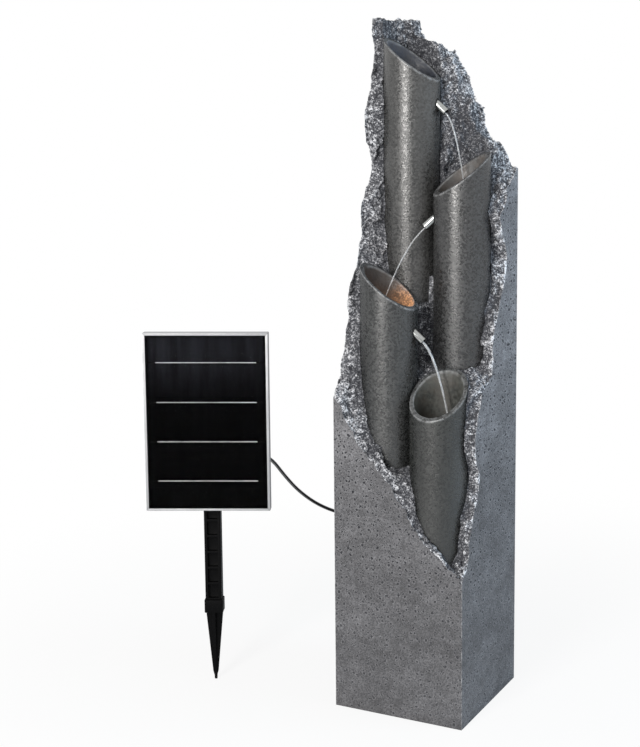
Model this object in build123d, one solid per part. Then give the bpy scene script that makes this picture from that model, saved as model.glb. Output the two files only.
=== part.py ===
from build123d import *
import math
import os

os.makedirs("parts", exist_ok=True)

# A garden fountain: a square cast column broken open over its near corner, with four upright tubes
# that fill and spill one into the next, a pump in its base, and a solar panel on a stake beside it.
# The origin is the centre of the column's base. The front face looks along -Y, the back door is at +Y.

# Driving sizes, in millimetres
tube_diameter = 83.0
tube_wall = 9.0
tube_gap = 0.5  # between a front tube and the one behind it
front_skin = 6.5  # rock left in front of the lowest tube
rear_margin = 27.0  # from the rear right tube to the column's back face
wall = 10.0  # of the column
column_height = 1000.0
fit_gap = 0.3  # between curved faces of separate pieces
glue_gap = 0.2  # round pieces that are glued in
running_gap = 0.05  # round a shaft that turns
cable_diameter = 5.2
overrun = 30.0  # how far a cutter passes the face that it cuts
screw_radius = 1.9
screw_head_radius = 3.8
screw_head_height = 2.6

# The column and its four tubes, numbered in the order that the water takes
column_side = 2*tube_diameter + tube_gap + front_skin + rear_margin
half = column_side/2
inner_half = half - wall
tube_radius = tube_diameter/2
cup_radius = tube_radius - tube_wall
bore_radius = tube_radius + fit_gap
left_margin = 13.5  # from the rear left tube to the outer faces
left_step = 3.0  # the front left tube stands this much further in
right_margin = 16.0
right_step = 1.5
tube_1 = (left_margin + tube_radius - half, half - left_margin - tube_radius)
tube_3 = (tube_1[0] + left_step, tube_1[1] - tube_diameter - tube_gap)
tube_4 = (half - right_margin - tube_radius, front_skin + tube_radius - half)
tube_2 = (tube_4[0] - right_step, tube_4[1] + tube_diameter + tube_gap)
tubes = (tube_1, tube_2, tube_3, tube_4)

# The deck closes the base chamber, just above the rear door, and carries the tubes
plate_thickness = 10.0
door_low = 105.0
door_height = 80.0
door_rebate = 6.0  # how much wider and taller the door's flange is, each side
door_to_deck = 5.0
deck_low = door_low + door_height + door_rebate + door_to_deck
deck_thickness = 14.0
deck_top = deck_low + deck_thickness

# Each tube's mouth: its middle height, as a share of the column, and the way it falls in plan
mouth_shares = (0.935, 0.772, 0.613, 0.466)
mouth_falls = (0.0, 220.0, 0.0, 270.0)  # degrees from +X
mouth_slope = 36.9  # degrees from level
mouth_heights = [share*column_height for share in mouth_shares]
lip_drop = tube_radius*math.tan(math.radians(mouth_slope))


def block(low, high):
    sizes = [b - a for a, b in zip(low, high)]
    return Pos(*low) * Box(*sizes, align=(Align.MIN, Align.MIN, Align.MIN))


def post(place, low, high, radius):
    """An upright round bar."""
    base = (Align.CENTER, Align.CENTER, Align.MIN)
    return Pos(place[0], place[1], low) * Cylinder(radius, high - low, align=base)


def bar_x(low, high, y, z, radius):
    """A round bar along X."""
    base = (Align.CENTER, Align.CENTER, Align.MIN)
    return Pos(low, y, z) * Rot(0, 90, 0) * Cylinder(radius, high - low, align=base)


def bar_y(x, low, high, z, radius):
    """A round bar along Y."""
    base = (Align.CENTER, Align.CENTER, Align.MIN)
    return Pos(x, low, z) * Rot(-90, 0, 0) * Cylinder(radius, high - low, align=base)


def biggest(shape):
    return max(shape.solids(), key=lambda solid: solid.volume)


def write(name, *shapes):
    solids = [solid for shape in shapes for solid in shape.solids()]
    shape = solids[0] if len(solids) == 1 else Compound(solids)
    export_step(shape, f"parts/{name}.step")


# The break: one row for each level, bottom to top, as shares chosen by eye. The first is the height, of
# the column's. The other two say where the broken edge is, walked round the outside in half sides:
# from the front left corner, back along the left face, or right along the front where it is negative,
# and from the front right corner, back along the right face and, past 2, left along the back.
break_shares = (
    (0.233, -1.80, 0.22), (0.246, -1.61, 0.22), (0.260, -1.41, 0.23), (0.283, -1.25, 0.32),
    (0.305, -1.13, 0.42), (0.327, -0.94, 0.57), (0.350, -0.78, 0.62), (0.378, -0.54, 0.46),
    (0.396, -0.37, 0.45), (0.418, -0.26, 0.47), (0.438, -0.14, 0.55), (0.461, 0.01, 0.65),
    (0.484, 0.20, 1.04), (0.507, 0.23, 1.08), (0.519, 0.33, 1.06), (0.545, 0.39, 1.10),
    (0.563, 0.48, 1.21), (0.590, 0.44, 1.35), (0.611, 0.51, 1.46), (0.630, 0.64, 1.57),
    (0.645, 0.78, 1.58), (0.664, 0.79, 1.56), (0.684, 0.90, 1.45), (0.709, 0.86, 1.29),
    (0.732, 0.91, 1.55), (0.751, 1.09, 1.57), (0.768, 1.20, 1.86), (0.784, 1.23, 2.12),
    (0.800, 1.16, 2.23), (0.816, 1.06, 2.40), (0.836, 1.01, 2.50), (0.856, 1.00, 2.51),
    (0.871, 1.10, 2.66), (0.890, 1.18, 2.72), (0.914, 1.22, 2.76), (0.926, 1.27, 2.92),
    (0.944, 1.32, 3.00), (0.956, 1.34, 3.27), (0.969, 1.28, 3.47), (0.984, 1.23, 3.55),
    (1.001, 1.30, 3.58),
)
last_level_of_tube_4_share = 0.47
first_level_of_tube_3_share = 0.37
last_level_of_tube_3_share = 0.60
last_level_of_tube_2_share = 0.775
rim_lift = 20.0  # how much higher the break lies at the tubes than at the column's faces
rim_lift_shares = (0, 0.4, 0.8, 1, 1, 1, 0.7, 0.35, 0)
roughness = 4.5  # of the broken rock, each way
skim = 1.0  # the break's edge points stand this far off the faces
bundle_recess = 25.0  # how far the rock goes back between the front tubes
lower_recess = 20.0
upper_recess = 14.0
back_shelf = 22.0  # the rock behind the upper tubes stands out from the back face by this


def rough(row, column, axis):
    """A number from -1 to 1 that looks random and is the same each time."""
    wave = math.sin(12.9898*row + 78.233*column + 37.719*axis)*43758.5453
    return 2*(wave - math.floor(wave)) - 1


def left_edge(walk):
    if walk < 0:
        return Vector(-half - walk*half, -half - skim)
    return Vector(-half - skim, -half + walk*half)


def right_edge(walk):
    if walk > 2:
        return Vector(half - (walk - 2)*half, half + skim)
    return Vector(half + skim, -half + walk*half)


def break_path(height_share, left_walk, right_walk):
    """The broken surface at one level: from the left edge, through the tubes, to the right edge."""
    start = left_edge(left_walk)
    end = right_edge(right_walk)
    low = height_share < first_level_of_tube_3_share
    if low:
        left = Vector(*tube_4) - Vector(tube_wall, 0)
    elif height_share < last_level_of_tube_3_share:
        left = Vector(*tube_3)
    else:
        left = Vector(*tube_1)
    if height_share < last_level_of_tube_4_share:
        right = Vector(*tube_4)
        recess = 0 if low else bundle_recess
    elif height_share < last_level_of_tube_2_share:
        right = Vector(*tube_2)
        recess = lower_recess if height_share < last_level_of_tube_3_share else upper_recess
    else:
        right = Vector(end.X - back_shelf + wall/2, half - back_shelf)
        recess = 0
    middle = (left + right)/2 + Vector(0, recess)
    left_rim = left + (start - left).normalized()*tube_radius
    if height_share < last_level_of_tube_2_share:
        right_rim = right + (end - right).normalized()*tube_radius
    else:
        right_rim = right + (end - right)/3
    return [start, (start + left_rim)/2, left_rim, left, middle, right,
            right_rim, (right_rim + end)/2, end]


def break_rings():
    far = half + overrun
    corners = [Vector(far, far), Vector(far, -far), Vector(-far, -far)]
    rings = []
    first = break_shares[0][0]*column_height - rim_lift
    count = len(rim_lift_shares)
    foot = Vector(half, -half) + Vector(skim, -skim)
    slope = Vector(skim, skim)
    rings.append([foot + slope*(step/count) + Vector(0, 0, first) for step in range(count)]
                 + [corner + Vector(0, 0, first) for corner in corners])
    for row, (height_share, left_walk, right_walk) in enumerate(break_shares):
        height = height_share*column_height
        ring = []
        path = break_path(height_share, left_walk, right_walk)
        for column, (point, lift) in enumerate(zip(path, rim_lift_shares)):
            shake = roughness if lift else 0
            ring.append(point + Vector(shake*rough(row, column, 0), shake*rough(row, column, 1),
                                       height + lift*rim_lift + shake*rough(row, column, 2)/2))
        rings.append(ring + [corner + Vector(0, 0, height) for corner in corners])
    top = column_height + rim_lift + overrun
    rings.append([Vector(point.X, point.Y, top) for point in rings[-1]])
    return rings


def break_cutter():
    """Everything that is broken away, as one closed solid of flat triangles."""
    rings = break_rings()
    faces = [Face(Wire.make_polygon(rings[0])), Face(Wire.make_polygon(rings[-1]))]
    for lower, upper in zip(rings, rings[1:]):
        for here in range(len(lower)):
            there = (here + 1) % len(lower)
            faces.append(Face(Wire.make_polygon([lower[here], lower[there], upper[there]])))
            faces.append(Face(Wire.make_polygon([lower[here], upper[there], upper[here]])))
    return Solid(Shell(faces))


# What passes through the column
door_centre = 20.0
door_width = 100.0
door_rebate_depth = 4.0
door_fit = 0.3
gland_in = 42.0  # from the column's left face
gland_rise = 45.0  # over the door's lower edge
gland_thread_radius = 6.0
clip_in = 22.0
clip_drop = 25.0  # the clip is this much lower than the gland
clip_screw_in = 34.0
clip_screw_depth = 8.0
clip_screw_radius = 1.6
gland_x = gland_in - half
gland_z = door_low + gland_rise
clip_x = clip_in - half
clip_z = gland_z - clip_drop
clip_screw_x = clip_screw_in - half
corner_post_side = 14.0
plate_gap = 0.3
post_low = plate_thickness + plate_gap
post_high = deck_low - plate_gap
pilot_depth = 16.0
hose_radius = 6.0
drain_hose_radius = 9.5
hose_gap = 2.0  # round a hose where it passes the deck
lead_radius = 1.6
lamp_radius = 9.5
lamp_gap = 0.8  # from a lamp to the cup's wall
lead_angle = 31.2  # the way from a tube's centre to its lamp

corner_places = [(side*(inner_half - corner_post_side/2), end*(inner_half - corner_post_side/2))
                 for side in (-1, 1) for end in (-1, 1)]
hose_place = tube_1
drain_place = tube_4
lead_in_x = (cup_radius - lamp_radius - lamp_gap)*math.cos(math.radians(lead_angle))
lead_in_y = (cup_radius - lamp_radius - lamp_gap)*math.sin(math.radians(lead_angle))
lead_places = [(tube_2[0] - lead_in_x, tube_2[1] - lead_in_y),
               (tube_3[0] + lead_in_x, tube_3[1] + lead_in_y)]


def tube_bores():
    top = column_height + overrun
    return [post(place, deck_top, top, bore_radius) for place in tubes]


def column_shell(cutter):
    shell = block((-half, -half, 0), (half, half, column_height))
    shell -= block((-inner_half, -inner_half, -overrun), (inner_half, inner_half, column_height + overrun))
    for place in corner_places:
        side = corner_post_side/2
        shell += block((place[0] - side, place[1] - side, post_low),
                       (place[0] + side, place[1] + side, post_high))
        shell -= post(place, post_low - overrun, post_low + pilot_depth, screw_radius + running_gap)
    left = door_centre - door_width/2
    right = door_centre + door_width/2
    top = door_low + door_height
    shell -= block((left, inner_half - overrun/2, door_low), (right, half + overrun, top))
    shell -= block((left - door_rebate, half - door_rebate_depth, door_low - door_rebate),
                   (right + door_rebate, half + overrun, top + door_rebate))
    shell -= bar_y(gland_x, inner_half - overrun/2, half + overrun, gland_z, gland_thread_radius + glue_gap)
    shell -= bar_y(clip_screw_x, half - clip_screw_depth, half + overrun, clip_z,
                   clip_screw_radius + running_gap)
    for bore in tube_bores():
        shell -= bore
    return biggest(shell - cutter)


def rock_core(cutter):
    core = block((-inner_half, -inner_half, deck_low), (inner_half, inner_half, column_height))
    core -= post(hose_place, deck_low - overrun, deck_top + overrun, hose_radius + hose_gap)
    core -= post(drain_place, deck_low - overrun, deck_top + overrun, drain_hose_radius + hose_gap)
    for place in lead_places:
        core -= post(place, deck_low - overrun, deck_top + overrun, lead_radius + hose_gap)
    for bore in tube_bores():
        core -= bore
    return biggest(core - cutter)


# The base plate and its screws
screw_length = 22.0
counterbore_depth = 3.2
head_gap = 0.3
shank_gap = 0.3


def base_plate():
    side = inner_half - plate_gap
    plate = block((-side, -side, 0), (side, side, plate_thickness))
    for place in corner_places:
        plate -= post(place, -overrun, counterbore_depth, screw_head_radius + head_gap)
        plate -= post(place, -overrun, plate_thickness + overrun, screw_radius + shank_gap)
    return plate


def base_screws():
    seat = counterbore_depth
    return [post(place, seat - screw_head_height, seat, screw_head_radius)
            + post(place, seat, seat - screw_head_height + screw_length, screw_radius)
            for place in corner_places]


# The tubes' floors lie this far under the spouts, and the lowest has an overflow instead
spout_below_lip = 31.0  # the spout's mouth inside the cup, under the lowest lip
cup_depth = 42.0
floor_thickness = 6.0
overflow_below_lip = 30.0
overflow_height = 34.0
spout_radius = 5.6
spout_bore = 4.7
spout_reach = 13.0  # past the tube's outside, level
spout_slope = 40.0  # degrees down
spout_falls = (0.0, 213.0, 0.0)
spout_sleeve = 1.5  # the grommet's wall
sleeve_stand_out = 2.0
scoop_start = 3.0  # past the grommet, where the spout's upper half is cut away

spout_heights = [height - lip_drop - spout_below_lip for height in mouth_heights[:3]]
floor_tops = [height - cup_depth for height in spout_heights]
overflow_top = mouth_heights[3] - lip_drop - overflow_below_lip
floor_tops.append(overflow_top - overflow_height)


def spout_frame(number):
    """The spout's own frame: its X runs down the spout and starts where the spout passes the tube's wall."""
    fall = spout_falls[number]
    place = tubes[number]
    turned = Rot(0, 0, fall) * Rot(0, spout_slope, 0)
    reach = tube_radius - tube_wall/2
    angle = math.radians(fall)
    middle = (place[0] + reach*math.cos(angle), place[1] + reach*math.sin(angle), spout_heights[number])
    return Pos(*middle) * turned


wall_run = tube_wall/2/math.cos(math.radians(spout_slope))  # from mid-wall to the outside, along the spout
spout_run = (tube_wall/2 + spout_reach)/math.cos(math.radians(spout_slope))
sleeve_run = wall_run + sleeve_stand_out + spout_radius*math.tan(math.radians(spout_slope))


def cascade_tube(number):
    place = tubes[number]
    height = mouth_heights[number]
    tube = post(place, deck_top, height + lip_drop + overrun, tube_radius)
    tube -= post(place, deck_top - overrun, height + lip_drop + 2*overrun, cup_radius)
    above = Box(4*tube_radius, 4*tube_radius, 4*tube_radius, align=(Align.CENTER, Align.CENTER, Align.MIN))
    tube -= Pos(place[0], place[1], height) * Rot(0, 0, mouth_falls[number]) * Rot(0, mouth_slope, 0) * above
    if number < len(spout_falls):
        tube -= spout_frame(number) * bar_x(-sleeve_run - overrun/3, sleeve_run + overrun/3, 0, 0,
                                            spout_radius + spout_sleeve + glue_gap)
    return biggest(tube)


def spout(number):
    pipe = bar_x(-sleeve_run, spout_run, 0, 0, spout_radius)
    pipe -= bar_x(-sleeve_run - overrun, spout_run + overrun, 0, 0, spout_bore)
    scoop = block((sleeve_run + scoop_start, -2*spout_radius, 0),
                  (spout_run + overrun, 2*spout_radius, 2*spout_radius))
    return spout_frame(number) * (pipe - scoop)


def spout_grommet(number):
    ring = bar_x(-sleeve_run + sleeve_stand_out, sleeve_run, 0, 0, spout_radius + spout_sleeve)
    return spout_frame(number) * (ring - bar_x(-sleeve_run - overrun, sleeve_run + overrun, 0, 0,
                                               spout_radius + running_gap))


# The way up and down for the water
inlet_flange_radius = 9.0
inlet_flange_height = 3.0
inlet_bore = 3.0
hose_wall = 1.5
inlet_tail = 28.0  # how far the spigot reaches down into the hose
hose_end_gap = 2.5  # from the pump's top to the hose's end
overflow_radius = 8.0
overflow_bore = 6.0
overflow_tail = 18.0
drain_hose_dip = 24.0  # how far the drain hose reaches down into the tub
spigot_radius = hose_radius - hose_wall - running_gap


def cup_floor(number):
    place = tubes[number]
    top = floor_tops[number]
    floor = post(place, top - floor_thickness, top, cup_radius - glue_gap)
    if number == 0:
        floor -= post(hose_place, top - 2*floor_thickness, top + floor_thickness, spigot_radius + glue_gap)
    elif number == 3:
        floor -= post(drain_place, top - 2*floor_thickness, top + floor_thickness, overflow_radius + glue_gap)
    else:
        floor -= post(lead_places[number - 1], top - 2*floor_thickness, top + floor_thickness,
                      lead_radius + glue_gap)
    return floor


def inlet_fitting():
    top = floor_tops[0]
    fitting = post(hose_place, top, top + inlet_flange_height, inlet_flange_radius)
    fitting += post(hose_place, top - floor_thickness - inlet_tail, top, spigot_radius)
    return fitting - post(hose_place, top - 2*inlet_tail, top + overrun, inlet_bore)


def riser_hose():
    top = floor_tops[0] - floor_thickness - fit_gap
    low = pump_low + pump_height + hose_end_gap
    hose = post(hose_place, low, top, hose_radius)
    return hose - post(hose_place, low - overrun, top + overrun, hose_radius - hose_wall)


def drain_fitting():
    low = floor_tops[3] - floor_thickness - overflow_tail
    pipe = post(drain_place, low, overflow_top, overflow_radius)
    return pipe - post(drain_place, low - overrun, overflow_top + overrun, overflow_bore)


def drain_hose():
    top = floor_tops[3] - floor_thickness - fit_gap
    low = tub_low + tub_height - drain_hose_dip
    hose = post(drain_place, low, top, drain_hose_radius)
    return hose - post(drain_place, low - overrun, top + overrun, overflow_radius + running_gap)


# The two lamps under water, in the second and third cups
lamp_height = 8.0
lens_radius = 8.0
lens_height = 4.0
junction_height = 18.0
junction_margin_x = 8.0  # from the leads to the junction box's sides
junction_margin_y = 5.0
junction_corner = 4.8
lamp_floors = floor_tops[1:3]
junction_low = deck_low - junction_height
junction_half_x = max(abs(x) for x, y in lead_places) + junction_margin_x
junction_half_y = max(abs(y) for x, y in lead_places) + junction_margin_y


def cup_lights():
    return [post(place, top, top + lamp_height, lamp_radius) for top, place in zip(lamp_floors, lead_places)]


def light_lenses():
    lenses = []
    ball = (lens_radius**2 + lens_height**2)/(2*lens_height)
    for top, place in zip(lamp_floors, lead_places):
        low = top + lamp_height
        dome = Pos(place[0], place[1], low + lens_height - ball) * Sphere(ball)
        lenses.append(dome & post(place, low, low + 2*lens_height, ball))
    return lenses


def light_leads():
    return [post(place, deck_low, top, lead_radius) for top, place in zip(lamp_floors, lead_places)]


def lead_junction_box():
    box = block((-junction_half_x, -junction_half_y, junction_low),
                (junction_half_x, junction_half_y, deck_low))
    return fillet(box.edges().filter_by(Axis.Z), junction_corner)


# The reservoir stands on the plate, inside the corner posts
tub_gap = 1.0  # to the corner posts
tub_height = 110.0
tub_wall = 2.5
tub_corner = 12.0
tub_half = inner_half - corner_post_side - tub_gap
tub_low = plate_thickness
tub_floor = tub_low + tub_wall


def reservoir_tub():
    outside = block((-tub_half, -tub_half, tub_low), (tub_half, tub_half, tub_low + tub_height))
    outside = fillet(outside.edges().filter_by(Axis.Z), tub_corner)
    side = tub_half - tub_wall
    inside = block((-side, -side, tub_floor), (side, side, tub_low + tub_height + overrun))
    return outside - fillet(inside.edges().filter_by(Axis.Z), tub_corner - tub_wall)


# The pump stands in the reservoir, straight under the riser hose. Its rotor turns about an axis along X.
foot_radius = 6.0
foot_height = 4.0
foot_inset = 9.0
pump_low = tub_floor + foot_height
pump_height = 44.0
pump_width = 40.0
pump_corner = 4.0
pump_gap = 0.5  # from the pump to the tub's wall
volute_length = 14.0
volute_radius = 14.0
volute_depth = 12.5
can_radius = 8.5
outlet_offset = 7.0  # from the joint of motor and volute to the outlet's axis
outlet_bore = 3.2
outlet_height = 22.0
plate_step = 2.5
eye_radius = 6.5
pump_y = tube_1[1]
pump_axis = pump_low + pump_height/2
volute_low = tube_1[0] - outlet_offset
motor_low = tub_wall + pump_gap - tub_half
volute_high = volute_low + volute_length
front_plate_high = volute_high + plate_step
shaft_radius = 1.5
shaft_seat = 2.0  # how far the shaft goes into the end of the rotor's can
motor_end = 3.5  # solid behind the shaft's end
magnet_radius = 8.0
magnet_gap = 2.0  # behind the magnet, in its can
can_depth = volute_high - volute_depth - motor_low - shaft_seat - motor_end
magnet_length = can_depth - magnet_gap
blade_radius = 12.5
blade_count = 6
blade_height = 8.0
blade_thickness = 1.4
hub_radius = 4.0


def pump_block(low, high):
    body = block((low, pump_y - pump_width/2, pump_low),
                 (high, pump_y + pump_width/2, pump_low + pump_height))
    return fillet(body.edges().filter_by(Axis.X), pump_corner)


def pump_body():
    body = pump_block(motor_low, volute_high)
    body -= bar_x(volute_high - volute_depth, volute_high + overrun, pump_y, pump_axis, volute_radius)
    body -= bar_x(volute_high - volute_depth - can_depth, volute_high, pump_y, pump_axis, can_radius)
    body -= bar_x(volute_high - volute_depth - can_depth - shaft_seat, volute_high, pump_y, pump_axis,
                  shaft_radius + running_gap)
    body += post(hose_place, pump_low + pump_height, pump_low + pump_height + outlet_height, spigot_radius)
    return body - post(hose_place, pump_axis, pump_low + pump_height + 2*outlet_height, outlet_bore)


def impeller_cover():
    plate = pump_block(volute_high, front_plate_high)
    return plate - bar_x(volute_high - overrun, volute_high + overrun, pump_y, pump_axis, eye_radius)


def impeller():
    back = volute_high - volute_depth
    magnet = bar_x(back - magnet_length, back + glue_gap + blade_thickness, pump_y, pump_axis, magnet_radius)
    magnet += bar_x(back + glue_gap, back + glue_gap + blade_thickness, pump_y, pump_axis, blade_radius)
    magnet += bar_x(back, back + blade_thickness + blade_height, pump_y, pump_axis, hub_radius)
    blade = block((back + blade_thickness, -blade_thickness/2, 0),
                  (back + blade_thickness + blade_height, blade_thickness/2, blade_radius - fit_gap))
    for step in range(blade_count):
        magnet += Pos(0, pump_y, pump_axis) * Rot(360*step/blade_count, 0, 0) * blade
    return biggest(magnet - bar_x(back - 2*magnet_length, back + overrun, pump_y, pump_axis,
                                  shaft_radius + running_gap))


def impeller_shaft():
    back = volute_high - volute_depth
    return bar_x(back - can_depth - shaft_seat, volute_high - plate_step, pump_y, pump_axis, shaft_radius)


def suction_feet():
    feet = []
    for x in (motor_low + foot_inset, volute_high - foot_inset):
        for side in (-1, 1):
            place = (x, pump_y + side*(pump_width/2 - foot_inset))
            cup = post(place, tub_floor, tub_floor + foot_height, foot_radius/2)
            cup += Pos(place[0], place[1], tub_floor) * Cone(
                foot_radius, foot_radius/2, foot_height/2, align=(Align.CENTER, Align.CENTER, Align.MIN))
            feet.append(cup)
    return feet


# The intake cover slides off along +X and takes its foam and its flow dial with it
cover_length = 22.0
cover_wall = 2.0
slot_count = 7
slot_width = 2.6
slot_height = 28.0
slot_depth = 3.0
foam_gap = 0.4
dial_radius = 7.0
dial_thickness = 4.0
dial_stem_radius = 2.5
dial_lift = 14.0  # the dial sits this far under the pump's top
grip_width = 1.6
grip_height = 2.0
cover_low = front_plate_high + fit_gap
cover_high = cover_low + cover_length
dial_z = pump_low + pump_height - dial_lift + dial_radius/2


def intake_cover():
    cover = pump_block(cover_low, cover_high)
    cover -= block((cover_low - overrun, pump_y - pump_width/2 + cover_wall, pump_low + cover_wall),
                   (cover_high - cover_wall, pump_y + pump_width/2 - cover_wall,
                    pump_low + pump_height - cover_wall))
    step = (pump_width - 2*pump_corner)/slot_count
    for number in range(slot_count):
        y = pump_y - pump_width/2 + pump_corner + (number + 0.5)*step
        low = pump_low + slot_depth
        high = dial_z - dial_radius - slot_depth
        cover -= block((cover_high - cover_wall - overrun/4, y - slot_width/2, low),
                       (cover_high + overrun, y + slot_width/2, high))
    return cover - bar_x(cover_high - cover_wall - overrun/4, cover_high + overrun, pump_y, dial_z,
                         dial_stem_radius + fit_gap)


def filter_foam():
    side = pump_width/2 - cover_wall - foam_gap
    foam = block((cover_low + foam_gap, pump_y - side, pump_low + cover_wall + foam_gap),
                 (cover_high - cover_wall - foam_gap, pump_y + side,
                  pump_low + pump_height - cover_wall - foam_gap))
    return foam - bar_x(cover_high - 2*slot_depth - cover_wall, cover_high + overrun, pump_y, dial_z,
                        dial_stem_radius + 2*foam_gap)


def flow_dial():
    dial = bar_x(cover_high + fit_gap, cover_high + fit_gap + dial_thickness, pump_y, dial_z, dial_radius)
    dial += bar_x(cover_high - cover_wall - slot_depth, cover_high + dial_thickness, pump_y, dial_z,
                  dial_stem_radius)
    face = cover_high + fit_gap + dial_thickness
    return dial + block((face, pump_y - grip_width/2, dial_z - dial_radius + fit_gap),
                        (face + grip_height, pump_y + grip_width/2, dial_z + dial_radius - fit_gap))


# The rear door is a stepped plug with its seal, and it pulls straight out
door_flange = 2.5
seal_thickness = 1.5
door_plug_wall = 3.0
door_plug_depth = 5.0
pull_width = 36.0
pull_height = 12.0
pull_depth = 6.5
door_middle = door_low + door_height/2


def rear_door():
    wide = door_width/2 + door_rebate - door_fit
    tall = door_height/2 + door_rebate - door_fit
    flange = block((door_centre - wide, half - door_flange, door_middle - tall),
                   (door_centre + wide, half, door_middle + tall))
    wide = door_width/2 - door_fit
    tall = door_height/2 - door_fit
    back = half - door_rebate_depth - door_plug_depth
    plug = block((door_centre - wide, back, door_middle - tall),
                 (door_centre + wide, half - door_flange, door_middle + tall))
    wide -= door_plug_wall
    tall -= door_plug_wall
    hollow = block((door_centre - wide, back - overrun, door_middle - tall),
                   (door_centre + wide, half - door_flange, door_middle + tall))
    well = block((door_centre - pull_width/2, back + glue_gap, door_middle - pull_height/2),
                 (door_centre + pull_width/2, half - door_flange, door_middle + pull_height))
    left = door_centre - pull_width/2 + door_plug_wall
    right = door_centre + pull_width/2 - door_plug_wall
    scoop = block((left, half - pull_depth, door_middle - pull_height/2 + door_plug_wall),
                  (right, half + overrun, door_middle + pull_height - door_plug_wall))
    return flange + (plug - hollow) + well - scoop


def door_seal():
    wide = door_width/2 + door_rebate - 2*door_fit
    tall = door_height/2 + door_rebate - 2*door_fit
    front = half - door_flange
    ring = block((door_centre - wide, front - seal_thickness, door_middle - tall),
                 (door_centre + wide, front, door_middle + tall))
    wide = door_width/2
    tall = door_height/2
    return ring - block((door_centre - wide, front - overrun, door_middle - tall),
                        (door_centre + wide, front + overrun, door_middle + tall))


# The cable's gland, clip and inner leads on the column
gland_flange_radius = 9.0
gland_flange = 3.0
gland_dome_radius = 6.5
gland_dome = 9.0
gland_nut = 6.0
gland_mouth = half + gland_flange + gland_dome
clip_ring = 2.0
clip_height = 8.0
clip_tab = 2.4
clip_tab_end = 5.0
clip_y = half + cable_diameter/2 + clip_ring + glue_gap
inner_lead_radius = 2.0
inner_lead_bend = 12.0
feed_in = 22.0  # from the junction box's corner to the feed lead
pump_lead_in = 12.0  # and to the pump's lead, both ways
pump_lead_slant = 30.0  # the height of its slanted stretch


def gland(thread_length):
    """A cable gland along +X: its flange lies on the wall at X = 0 and its thread passes the wall."""
    body = bar_x(0, gland_flange, 0, 0, gland_flange_radius)
    body += bar_x(gland_flange, gland_flange + gland_dome, 0, 0, gland_dome_radius)
    body = fillet(body.edges().filter_by(GeomType.CIRCLE).sort_by(Axis.X)[-1], gland_dome_radius/3)
    body += bar_x(-thread_length, 0, 0, 0, gland_thread_radius)
    return body


def column_gland():
    body = Pos(gland_x, half, gland_z) * Rot(0, 0, 90) * gland(wall)
    nut = bar_y(gland_x, inner_half - gland_nut, inner_half, gland_z, gland_flange_radius)
    return body, nut


def cable_clip():
    low = clip_z - clip_height/2
    high = clip_z + clip_height/2
    place = (clip_x, clip_y)
    clip = post(place, low, high, cable_diameter/2 + glue_gap + clip_ring)
    clip += block((clip_x, half, low), (clip_screw_x + clip_tab_end, half + clip_tab, high))
    clip -= post(place, low - overrun, high + overrun, cable_diameter/2 + glue_gap)
    return clip - bar_y(clip_screw_x, half - overrun, half + overrun, clip_z, clip_screw_radius + glue_gap)


def clip_screw():
    face = half + clip_tab
    screw = bar_y(clip_screw_x, face, face + clip_screw_radius, clip_z, 2*clip_screw_radius)
    return screw + bar_y(clip_screw_x, half - clip_screw_depth + fit_gap, face, clip_z, clip_screw_radius)


def run(points, radius, bends):
    """A tube along straight runs joined by tangent arcs."""
    line = FilletPolyline(*points, radius=bends)
    return sweep(Plane(origin=line @ 0, z_dir=line % 0) * Circle(radius), path=line)


def feed_lead():
    """From the gland's nut to the junction box."""
    side = (deck_low + junction_low)/2
    box_y = junction_half_y - feed_in
    return run([(gland_x, inner_half - gland_nut, gland_z), (gland_x, box_y, gland_z), (gland_x, box_y, side),
                (-junction_half_x, box_y, side)], inner_lead_radius, [inner_lead_bend, inner_lead_bend])


def pump_lead():
    x = (motor_low + volute_low)/2
    top = pump_low + pump_height
    y = pump_y - pump_width/2 + pump_corner + inner_lead_radius
    end_x = -junction_half_x + pump_lead_in
    end_y = junction_half_y - pump_lead_in
    middle = (top + junction_low)/2
    low_turn = middle - pump_lead_slant/2
    high_turn = middle + pump_lead_slant/2
    return run([(x, y, top), (x, y, low_turn), (end_x, end_y, high_turn), (end_x, end_y, junction_low)],
               inner_lead_radius, [inner_lead_bend, inner_lead_bend])


# The solar unit has a frame of its own: X to the right along the panel, Y away from the viewer
solar_x = -311.0
solar_y = -95.3
solar_turn = 24.9  # degrees
solar_frame = Pos(solar_x, solar_y, 0) * Rot(0, 0, solar_turn)

panel_width = 182.0
panel_height = 265.0
panel_depth = 17.0
hinge_height = 408.0
hinge_to_back = 22.0  # from the hinge's axis to the panel's back
lip_width = 4.7
lip_thickness = 1.2
rail_wall = 1.6
shelf_width = 7.5
flange_width = 9.5
glass_thickness = 3.0
cell_thickness = 0.3
backsheet_thickness = 0.8
bed_gap = 0.3
panel_back = -hinge_to_back
panel_front = panel_back - panel_depth
glass_front = panel_front + lip_thickness + glue_gap
cell_front = glass_front + glass_thickness
backsheet_front = cell_front + cell_thickness
shelf_front = backsheet_front + backsheet_thickness + bed_gap
shelf_back = shelf_front + lip_thickness
glass_half_x = panel_width/2 - rail_wall - glue_gap
glass_half_z = panel_height/2 - rail_wall - glue_gap
mitre_gap = 0.2


def slab(half_x, low_y, high_y, half_z):
    """A slab across the panel, centred on the hinge's height."""
    return block((-half_x, low_y, hinge_height - half_z), (half_x, high_y, hinge_height + half_z))


def panel_ring():
    ring = slab(panel_width/2, panel_front, panel_back, panel_height/2)
    for inset, low_y, high_y in (
            (lip_width, panel_front - overrun, panel_front + lip_thickness),
            (rail_wall, panel_front + lip_thickness, shelf_front),
            (shelf_width, shelf_front, shelf_back),
            (rail_wall, shelf_back, panel_back - lip_thickness),
            (flange_width, panel_back - lip_thickness, panel_back + overrun)):
        ring -= slab(panel_width/2 - inset, low_y, high_y, panel_height/2 - inset)
    return ring


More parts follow.
